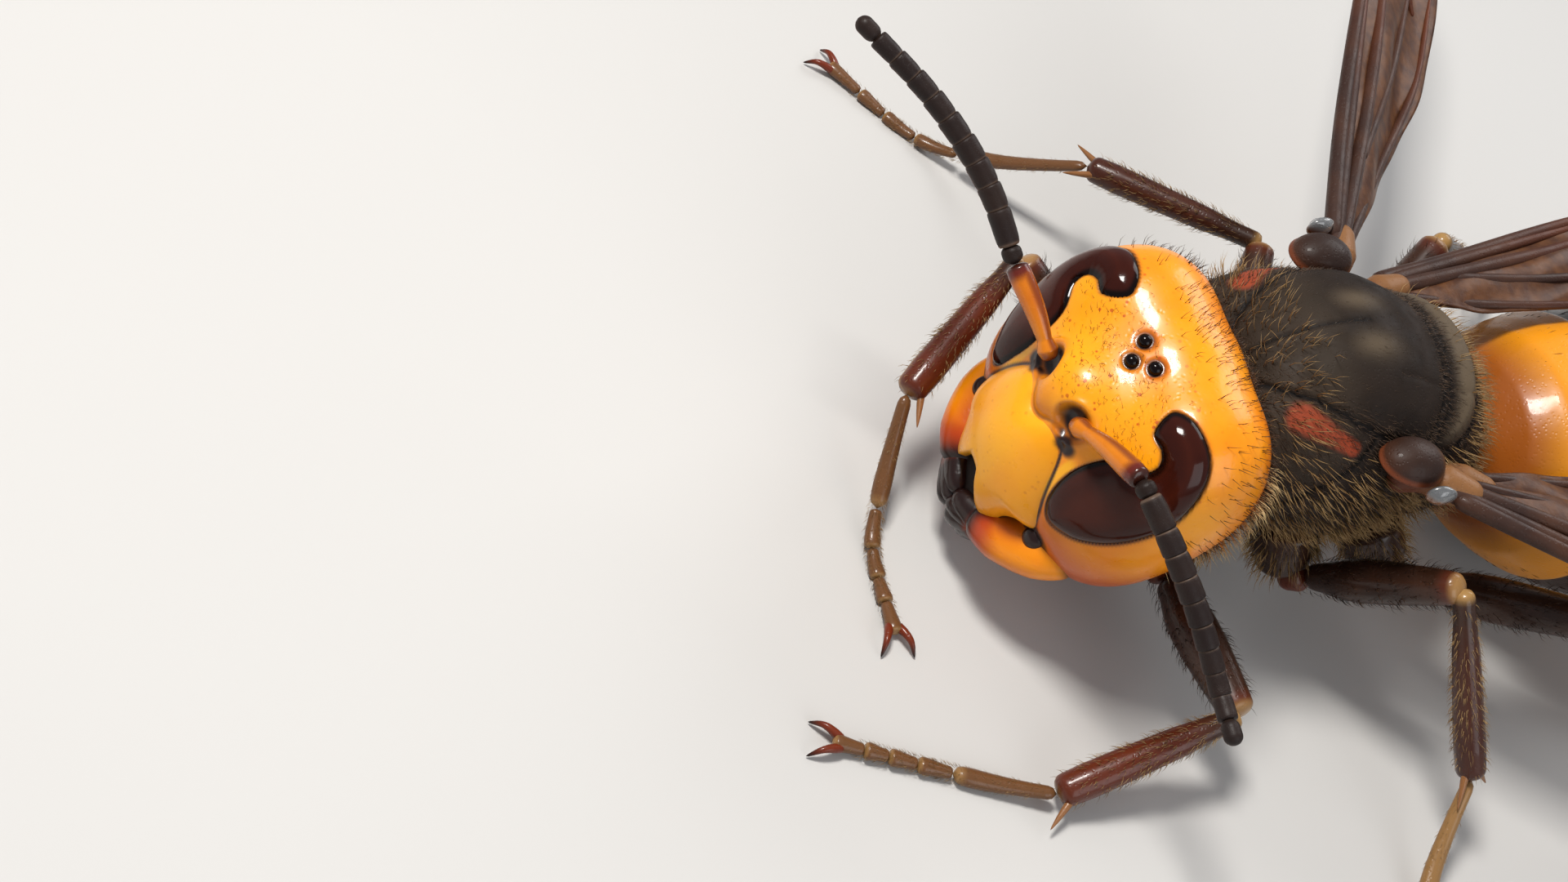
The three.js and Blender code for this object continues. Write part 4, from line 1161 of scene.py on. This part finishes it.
def leg_plan(name):
    """Hip, end of the coxa, knee, route of the foot, and thickness of one leg."""
    pair, label = name.split("_")
    sizes, stance, side = LEG_SIZES[pair], STANCES[name], dict(SIDES)[label]
    hip, hip_end = mirrored(sizes["hip"], side), mirrored(sizes["coxa"], side)
    ankle = np.array(stance["ankle"])
    knee = knee_of(hip_end, ankle, sizes["femur"], sizes["tibia"], np.array(stance["knee"]))
    low = GROUND + FOOT_HEIGHT
    turn, tip = [np.array([x, y, low]) for x, y in stance["foot"]]
    heel = (ankle + turn) / 2
    heel[2] -= (heel[2] - low) * 0.25
    return hip, hip_end, knee, [ankle, heel, turn, tip], sizes["thick"]


def add_foot(name, route, tone):
    turn, tip = route[2:]
    line = spline(route, CHAIN_SAMPLES, closed=False)
    parts = []
    for index, (start, end) in enumerate(zip(FOOT_JOINTS, FOOT_JOINTS[1:])):
        piece = line[int(start * CHAIN_SAMPLES):int(end * CHAIN_SAMPLES) + 1]
        radius = FOOT_RADIUS * (1 if index == 0 else 0.9)
        route = piece[[0, len(piece) // 3, 2 * len(piece) // 3, -1]]
        joint, along, _ = add_bar("joint", route, radius * np.array([0.62, 0.66, 0.72, 0.8, 0.88, 0.8]),
                                      segments=24, rings=24, flat=0.85, cap=0.1)
        paint(joint, dark=tone[0], red=tone[1], pale=np.maximum(tone[2], 0.5 * smooth(along, 0.85, 0.97)))
        parts.append(joint)
    ahead = unit(tip - turn)
    across = np.array([-ahead[1], ahead[0], 0])
    for way in (1, -1):
        root = tip - ahead * 0.35 + across * way * 0.12
        over = tip + ahead * 0.3 + across * way * 0.42 + np.array([0, 0, 0.1])
        end = tip + ahead * 0.75 + across * way * 0.6
        end[2] = GROUND + 0.08
        claw, along, _ = add_bar("claw", [root, over, end], [0.15, 0.15, 0.12, 0.08, 0.03],
                                     segments=16, rings=20, up=[0.1, 0.2, 1], cap=0.1)
        paint(claw, dark=smooth(along, 0.5, 1), red=1.0)
        parts.append(claw)
    finish(join_pieces(f"foot_{name}", parts), leg_shell, "foot", f"tarsus_{name}")


def add_leg(name):
    hip, hip_end, knee, foot, thick = leg_plan(name)
    ankle = foot[0]
    is_fore = name.startswith("fore")
    coxa, along, _ = add_bar(
        f"coxa_{name}", rod(hip, hip_end), [1.15, 1.12, 1.1, 0.9, 0.75], segments=40, rings=40, cap=0.2,
    )
    paint(coxa, red=0.3 * smooth(along, 0.8, 0.95))
    finish(coxa, leg_shell, "leg", f"coxa_{name}")
    joint = hip_end + (knee - hip_end) * 0.16
    trochanter, *_ = add_bar(
        "trochanter", rod(hip_end, joint), thick * np.array([0.6, 0.72, 0.74, 0.66]),
        segments=32, rings=24, cap=0.25,
    )
    paint(trochanter, red=0.5)
    thigh, along, _ = add_bar(
        "thigh", rod(joint, knee), thick * np.array([0.55, 0.72, 0.95, 1.02, 1.0, 0.95, 0.88, 0.8, 0.68]),
        segments=40, rings=60, cap=0.05,
    )
    paint(thigh, pale=0.55 * smooth(along, 0.93, 0.99), red=0.4 * smooth(along, 0.85, 0.95))
    finish(join_pieces(f"thigh_{name}", [trochanter, thigh]), leg_shell, "leg", f"femur_{name}")
    shin = unit(ankle - knee)
    outward = unit(np.cross([0, 0, 1.0], shin))
    tibia, along, angle = add_bar(
        "shin", rod(knee, ankle), thick * np.array([0.5, 0.5, 0.62, 0.66, 0.7, 0.72, 0.66]),
        segments=40, rings=60, cap=0.05,
    )
    edge = fade(np.abs(angle), 0.1, 0.5)
    paint(tibia, red=(0.55 if is_fore else 0.2) * smooth(along, 0.1, 0.4),
          pale=np.maximum(0.7 * fade(along, 0.01, 0.07), 0.45 * is_fore * edge))
    parts = [tibia]
    for way in ([1] if is_fore else [1, -1]):
        root = ankle - shin * 0.45 + outward * way * 0.28
        tip = ankle + shin * 0.7 + outward * way * 0.95
        spur, *_ = add_bar("spur", rod(root, tip), [0.14, 0.12, 0.08, 0.02],
                                     segments=12, rings=16, up=[0.2, 0.3, 1], cap=0.1)
        paint(spur, red=0.8, pale=0.3)
        parts.append(spur)
    finish(join_pieces(f"shin_{name}", parts), leg_shell, "leg", f"tibia_{name}")
    # The mid-left foot is painted paler than the rest: painted light, as where the light falls on it.
    add_foot(name, foot, (0.0, 0.3, 0.45 if name == "mid_left" else 0.15))


for name in STANCES:
    add_leg(name)

# %% [markdown]
# The wings are held half open, each pleated lengthwise into a narrow strip. The membrane is smoky
# brown and lets some light through. The dark veins are rods of their own that stand out of it.

# %% Wing membrane
membrane, tree, surface, coordinates = shader("wing_membrane")
streaks = ramp(tree, noise(tree, coordinates, 0.5, 4.0, 0.5), 0.35, 0.65)
colour = blend(tree, streaks, (0.075, 0.027, 0.012), (0.15, 0.058, 0.02))
tree.links.new(colour, surface.inputs["Base Color"])
tree.links.new(
    ramp(tree, noise(tree, coordinates, 1.5), 0.3, 0.7, 0.35, 0.55), surface.inputs["Roughness"]
)
surface.inputs["Transmission Weight"].default_value = 0.35
surface.inputs["IOR"].default_value = 1.35
surface.inputs["Coat Weight"].default_value = 0.08
surface.inputs["Coat Roughness"].default_value = 0.2
surface.inputs["Specular IOR Level"].default_value = 0.2
bump(tree, surface, [(noise(tree, coordinates, 0.18, 2.0), 0.012), (noise(tree, coordinates, 1.2), 0.05)])

# %% [markdown]
# One wing is a grid spread over its outline, with a pleat pressed into it, plus its veins.

# %% Wings
WINGS = {
    "forewing_left": {
        "side": 1, "root": [4.35, 1.0, 1.9], "long": 29, "wide": 4.9, "sweep": 58, "rise": 8, "roll": -6,
    },
    "forewing_right": {
        "side": -1, "root": [4.35, 1.0, 1.9], "long": 29, "wide": 4.9, "sweep": 28, "rise": 6, "roll": -30,
    },
    "hindwing_left": {
        "side": 1, "root": [3.7, 2.7, 1.0], "long": 20, "wide": 4.4, "sweep": 69, "rise": 2, "roll": 4,
    },
    "hindwing_right": {
        "side": -1, "root": [3.7, 2.7, 1.2], "long": 20, "wide": 4.4, "sweep": 77, "rise": 6, "roll": 4,
    },
}
WING_LENGTH = 29
SHEET_LENGTH = 28.9
MEMBRANE_THICK = 0.07
WING_FRONT = [[0, -0.55], [6, -0.8], [14, -1.15], [22, -1.25], [27, -0.7], [28.6, 0.1], [29, 0.9]]
WING_ARM = np.array([[-1.6, 0.1, -0.35], [-0.3, 0.05, -0.1], [1.6, 0, 0]])
FORE_VEINS = [
    [[0, -0.3], [8, -0.62], [17, -0.95]],
    [[0, 0], [7, 0.15], [14, 0], [18.5, -0.85]],
    [[0.5, -0.5], [6, -0.78], [14, -1.1], [21, -1.2]],
    [[17, -0.95], [22, -0.95], [26.2, -0.3]],
    [[5, 0.3], [11, 1.4], [18, 1.9], [24.5, 1.7]],
    [[1, 0.4], [6, 1.7], [12, 3.1], [17, 3.2]],
    [[14, 0], [15.5, 1.2], [15.2, 2.6]],
]


def wing_matrix(spec):
    """Turn and place of a wing whose own X runs along it and Y across it."""
    about_x, about_y, about_z = turns(np.radians([spec["roll"], -spec["rise"], spec["sweep"]]))
    side = np.diag([spec["side"], 1.0, 1.0])
    return side @ about_z @ about_y @ about_x, mirrored(spec["root"], spec["side"])


def pleats(x, y, wide):
    """Height of the pleated membrane over the wing's middle plane."""
    away = smooth(x, 1, 6)
    return away * (0.16 * np.sin(y / wide * 2 * np.pi * 1.6) + 0.04 * np.sin(x * 1.1 + y * 2.5))


def add_wing(name, spec):
    is_fore = name.startswith("fore")
    long, wide = spec["long"] / WING_LENGTH, spec["wide"]
    across = 1.0 if is_fore else 0.85
    turned, root = wing_matrix(spec)
    up = turned @ [0.03, 0.02, 1]

    def laid(x, y):
        """Places on the pleated wing, turned as it is held."""
        return np.column_stack([x * long, y * across, pleats(x, y, wide)]) @ turned.T + root

    back = [
        [0, 0.5], [2, 0.9], [6, 2.1], [12, wide - 1.4], [21, wide - 1.5], [27, 2.9], [28.6, 1.9], [29, 0.9],
    ]
    bpy.ops.object.select_all(action="DESELECT")
    bpy.ops.mesh.primitive_grid_add(x_subdivisions=170, y_subdivisions=40, size=2, location=(0, 0, 0))
    sheet = bpy.context.object
    flat = corners_of(sheet)
    t = (flat[:, 0] + 1) / 2
    x = SHEET_LENGTH * np.sin(t * np.pi / 2) ** 0.9
    low, high = [np.interp(x, *spline(edge, 200, closed=False).T) for edge in (WING_FRONT, back)]
    move_corners(sheet, laid(x, low + (high - low) * (flat[:, 1] + 1) / 2))
    shell = sheet.modifiers.new("shell", "SOLIDIFY")
    shell.thickness = MEMBRANE_THICK * MM
    shell.offset = 0
    bpy.ops.object.modifier_apply(modifier=shell.name)
    sheet.name = f"{name}_membrane"
    veins = []
    for route in FORE_VEINS if is_fore else FORE_VEINS[:6]:
        x, y = np.array(route).T
        thick = 0.3 if x[0] < 1 else 0.2
        vein, along, _ = add_bar(
            "vein", laid(x, y), thick * np.array([1, 0.9, 0.8, 0.62, 0.4]),
            segments=14, rings=60, up=up, cap=0.03,
        )
        paint(vein, red=0.35 * smooth(along, 0.3, 1.0))
        veins.append(vein)
    knob, along, _ = add_bar(
        "root", WING_ARM @ turned.T + root, [0.6, 0.7, 0.5, 0.62, 0.5, 0.4],
        segments=28, rings=40, up=up, cap=0.15,
    )
    paint(knob, red=0.4, pale=0.5 * smooth(along, 0.3, 0.6))
    veins.append(knob)
    finish(join_pieces(f"{name}_veins", veins), vein_shell, "wing")
    finish(sheet, membrane, "wing", name)


for name, spec in WINGS.items():
    add_wing(name, spec)

# %% [markdown]
# A hornet is bristly. Each hair is a thin three-sided spike with one bend, closed at its root, and a
# coat is one mesh with thousands of them. The coat's own texture map gives every hair a tiny patch at
# the place of its root, on the same unwrapping that the skin's ball came with.

# %% One coat of hair
HAIR_PATCH = 0.003
SPIKE_FACES = [[0, 2, 1], [0, 1, 4, 3], [1, 2, 5, 4], [2, 0, 3, 5], [3, 4, 6], [4, 5, 6], [5, 3, 6]]
SPIKE_PATCH = HAIR_PATCH * np.array([
    [0, 0], [1, 0], [0.5, 0.4], [0.15, 0.5], [0.85, 0.5], [0.5, 0.7], [0.5, 1],
])


def hair_finish(name, colour, tip):
    material, tree, surface, coordinates = shader(name)
    tree.links.new(
        blend(tree, ramp(tree, noise(tree, coordinates, 0.6), 0.35, 0.65), colour, tip),
        surface.inputs["Base Color"],
    )
    surface.inputs["Roughness"].default_value = 0.38
    surface.inputs["Specular IOR Level"].default_value = 0.3
    return material


black_hair = hair_finish("black_hair", (0.02, 0.009, 0.004), (0.07, 0.03, 0.01))
brown_hair = hair_finish("brown_hair", (0.035, 0.019, 0.011), (0.1, 0.06, 0.035))
golden_hair = hair_finish("golden_hair", (0.19, 0.1, 0.035), (0.38, 0.24, 0.1))
pale_hair = hair_finish("pale_hair", (0.5, 0.33, 0.14), (0.62, 0.45, 0.22))


def add_coat(name, roots, normals, flow, long, wide, lift, places, material, slot):
    """Hairs at roots. flow is the way they lie, lift how far they stand off the skin."""
    count = len(roots)
    long, wide, lift = [np.broadcast_to(v, count)[:, None] for v in (long, wide, lift)]
    flow = unit(flow - normals * np.sum(flow * normals, axis=1)[:, None])
    start_way = unit(flow * (1 - lift) + normals * lift)
    end_way = unit(flow * (1.25 - lift) + normals * lift * 0.6)
    across = unit(np.cross(start_way, normals + 1e-4))
    upward = np.cross(across, start_way)
    corners = np.empty((count, 7, 3))
    middle = roots + start_way * long * 0.5
    for k, angle in enumerate(np.radians([90, 210, 330])):
        ring = (across * np.cos(angle) + upward * np.sin(angle)) * wide
        corners[:, k] = roots - start_way * wide + ring
        corners[:, k + 3] = middle + ring * 0.7
    corners[:, 6] = middle + end_way * long * 0.5
    clear = corners[:, :, 2].min(axis=1) > GROUND
    corners, places, count = corners[clear], np.asarray(places)[clear], int(clear.sum())
    faces = [[i * 7 + c for c in face] for i in range(count) for face in SPIKE_FACES]
    mesh = bpy.data.meshes.new(name)
    mesh.from_pydata(placed(corners.reshape(-1, 3)), [], faces)
    coat = bpy.data.objects.new(name, mesh)
    bpy.context.collection.objects.link(coat)
    spots = (places[:, None, :] + SPIKE_PATCH[None]).reshape(-1, 2)
    corner_of_loop = np.empty(len(mesh.loops), int)
    mesh.loops.foreach_get("vertex_index", corner_of_loop)
    mesh.uv_layers.new(name="OFBake").data.foreach_set("uv", spots[corner_of_loop].ravel())
    finish(coat, material, slot)


def slope_of(field, points):
    """The outward way of a field at points."""
    step = 0.01
    return unit(np.column_stack([
        field(points + np.eye(3)[k] * step) - field(points - np.eye(3)[k] * step) for k in range(3)
    ]))


def unwrapped(ways):
    """Place of each way on the ball's own unwrapping, whose poles face front and back."""
    round_it = np.arctan2(ways[:, 2], ways[:, 0]) / (2 * np.pi) + 0.5
    return np.column_stack([round_it, np.arccos(np.clip(-ways[:, 1], -1, 1)) / np.pi]) * 0.99


def scattered(generator, count):
    """Even random ways in all directions."""
    return unit(generator.normal(size=(count, 3)))


generator = np.random.default_rng(7)


def add_form_coat(form, name, count, chance_of, flow_of, long, wide, lift, material):
    """A coat on one of the big forms. Each random root is kept with the chance that its place gives."""
    ways = scattered(generator, count)
    roots = form["core"] + ways * drawn(form["field"], form["core"], ways)[:, None]
    keep = generator.random(count) < chance_of(roots)
    roots, ways = roots[keep], ways[keep]
    flow = flow_of(roots) + generator.normal(size=roots.shape) * form["stray"]
    long, lift = [generator.uniform(*limits, len(roots)) for limits in (long, lift)]
    turned = form["turned"]
    add_coat(
        name, form["settle"](roots), slope_of(form["field"], roots) @ turned.T, flow @ turned.T,
        long, wide, lift, unwrapped(ways), material, form["slot"],
    )


# %% [markdown]
# The head wears three coats: fine brown hairs on the brow, short dark ones over the crown and the rear
# margin, and stout pale bristles behind the cheeks. The eyes, ocelli, sockets and face plate stay bare.

# %% Hair of the head
HEAD_FORM = {
    "field": head_field, "core": HEAD_CORE, "settle": on_neck, "turned": HEAD_MATRIX,
    "stray": 0.35, "slot": "head_shell",
}


def open_skin(roots):
    """1 where hair may grow on the head, and 0 on its bare places."""
    gap = eye_distance(angles_of(unit(roots - HEAD_CORE)))
    pit = np.linalg.norm(halved(roots) - SOCKET, axis=1)
    bare = (gap < 2.5) | (plate_distance(roots) < 0.3) | (pit < 0.8) | (ocellus_distance(roots) < 0.32)
    return np.where(bare, 0.0, 1.0)


def forwards(roots):
    return np.tile([0, -0.6, 0.8], (len(roots), 1))


def outwards(roots):
    return np.column_stack([roots[:, 0], roots[:, 1] * 0.6, roots[:, 2] * 0.4])


def backwards(roots):
    return np.column_stack([roots[:, 0] * 0.15, np.ones(len(roots)), roots[:, 2] * 0.1])


add_form_coat(
    HEAD_FORM, "hair_of_brow", 9000,
    lambda p: open_skin(p) * 0.5 * smooth(p[:, 2], 1.2, 2.2) * smooth(-p[:, 1], 0.2, 1.4),
    forwards, (0.16, 0.34), 0.008, (0.5, 0.8), brown_hair,
)
add_form_coat(
    HEAD_FORM, "hair_of_crown", 9000,
    lambda p: open_skin(p) * 0.5 * smooth(p[:, 1], -0.8, 1.4) * smooth(p[:, 2], -1.5, 1.0)
    * fade(p[:, 1], 2.6, 3.0),
    backwards, (0.25, 0.55), 0.012, (0.45, 0.8), black_hair,
)
add_form_coat(
    HEAD_FORM, "bristles_of_cheek", 9000,
    lambda p: open_skin(p) * 0.7 * smooth(-p[:, 2], -2.8, -2.0) * smooth(p[:, 1], 1.5, 2.1)
    * smooth(np.abs(p[:, 0]), 2.4, 3.0),
    outwards, (0.5, 0.95), 0.018, (0.6, 0.95), pale_hair,
)

# %% [markdown]
# The thorax is densely furred. A short velvet lies backwards over all its plates, and longer golden
# bristles stand out along the collar, on the flanks over the legs and around the waist.

# %% Hair of the thorax
THORAX_FORM = {
    "field": thorax_field, "core": np.zeros(3), "settle": np.array, "turned": np.eye(3),
    "stray": 0.3, "slot": "thorax",
}


def rearwards(roots):
    return np.column_stack([roots[:, 0] * 0.1, np.ones(len(roots)), -0.35 * np.ones(len(roots))])


def off_joints(p):
    neck_gap = np.linalg.norm(p - [0.1, -4.8, -0.6], axis=1)
    waist_gap = np.linalg.norm(p - [0, 5.6, -1.5], axis=1)
    return smooth(np.minimum(neck_gap, waist_gap), 0.9, 1.2)


add_form_coat(
    THORAX_FORM, "velvet_of_thorax", 15000,
    lambda p: off_joints(p) * (0.5 + 0.5 * smooth(p[:, 2], 0, 2)),
    rearwards, (0.22, 0.42), 0.01, (0.12, 0.35), brown_hair,
)
add_form_coat(
    THORAX_FORM, "golden_hair_of_thorax", 9000,
    lambda p: off_joints(p) * np.maximum.reduce([
        0.8 * fade(p[:, 2], 0.6, 2.2) * smooth(p[:, 2], -3.6, -2.6),
        0.7 * smooth(-p[:, 1], 2.6, 3.8) * smooth(p[:, 2], -2, 0),
        0.8 * smooth(p[:, 1], 2.2, 3.6),
    ]),
    rearwards, (0.45, 0.95), 0.016, (0.45, 0.85), golden_hair,
)

# %% [markdown]
# Legs and abdomen are measured by how far along and how far round, so their hairs are scattered in
# those two numbers. A leg's hairs point to its foot, and those of the abdomen to the sting.

# %% Hair of the legs and the abdomen
def add_leg_coat(name, route, radii, count, long, wide, material, slot="leg", flat=1.0):
    ball = scattered(generator, count)
    points, along, angle = bar_points(ball, route, radii, flat=flat, cap=0.06)
    samples = spline(route, BAR_SAMPLES, closed=False)
    steps = np.linspace(0, 1, len(samples))
    flow = sampled(along, steps, unit(np.gradient(samples, axis=0)))
    keep = (along > 0.06) & (along < 0.96)
    normals = unit(points - sampled(along, steps, samples))
    places = np.column_stack([angle / (2 * np.pi) + 0.5, along]) * 0.99
    flow = flow + generator.normal(size=flow.shape) * 0.2
    long, lift = [generator.uniform(*limits, keep.sum()) for limits in (long, (0.3, 0.65))]
    add_coat(name, points[keep], normals[keep], flow[keep], long, wide, lift, places[keep], material, slot)


for name in STANCES:
    hip, hip_end, knee, foot, thick = leg_plan(name)
    add_leg_coat(f"coxa_hair_{name}", rod(hip, hip_end), [1.12, 1.1, 1.08, 0.86, 0.7],
                 420, (0.4, 0.8), 0.015, golden_hair)
    add_leg_coat(f"thigh_hair_{name}", rod(hip_end, knee),
                 thick * np.array([0.6, 0.66, 0.9, 1.0, 0.95, 0.85, 0.66]),
                 420, (0.25, 0.5), 0.011, black_hair)
    add_leg_coat(f"shin_hair_{name}", rod(knee, foot[0]),
                 thick * np.array([0.46, 0.48, 0.6, 0.64, 0.68, 0.7, 0.62]),
                 520, (0.22, 0.42), 0.011, golden_hair)
    add_leg_coat(f"foot_hair_{name}", foot, FOOT_RADIUS * np.array([0.6, 0.7, 0.7, 0.7, 0.7]),
                 700, (0.12, 0.22), 0.007, golden_hair, "foot", flat=0.85)

count = 5200
part = generator.random(count)
angle = generator.uniform(-np.pi, np.pi, count)
along = ABDOMEN_ENDS[0] + 1.0 + part * (ABDOMEN_ENDS[-1] - 1.3)
stations = np.concatenate([np.linspace(a, b, 5) for a, b in zip(ABDOMEN_ENDS, ABDOMEN_ENDS[1:])])
radius = np.interp(along, stations, np.concatenate(ABDOMEN_WIDTHS)) - 0.01
roots = abdomen_points(along, radius, angle)
normals = unit(roots - abdomen_points(along, radius * 0.5, angle))
flow = abdomen_points(along + 0.2, radius, angle) - roots
flow = unit(flow) + generator.normal(size=flow.shape) * 0.15
add_coat("hair_of_abdomen", roots, normals, flow, generator.uniform(0.25, 0.5, count), 0.011,
         generator.uniform(0.12, 0.35, count), np.column_stack([angle / (2 * np.pi) + 0.5, part]) * 0.99,
         black_hair, "abdomen")
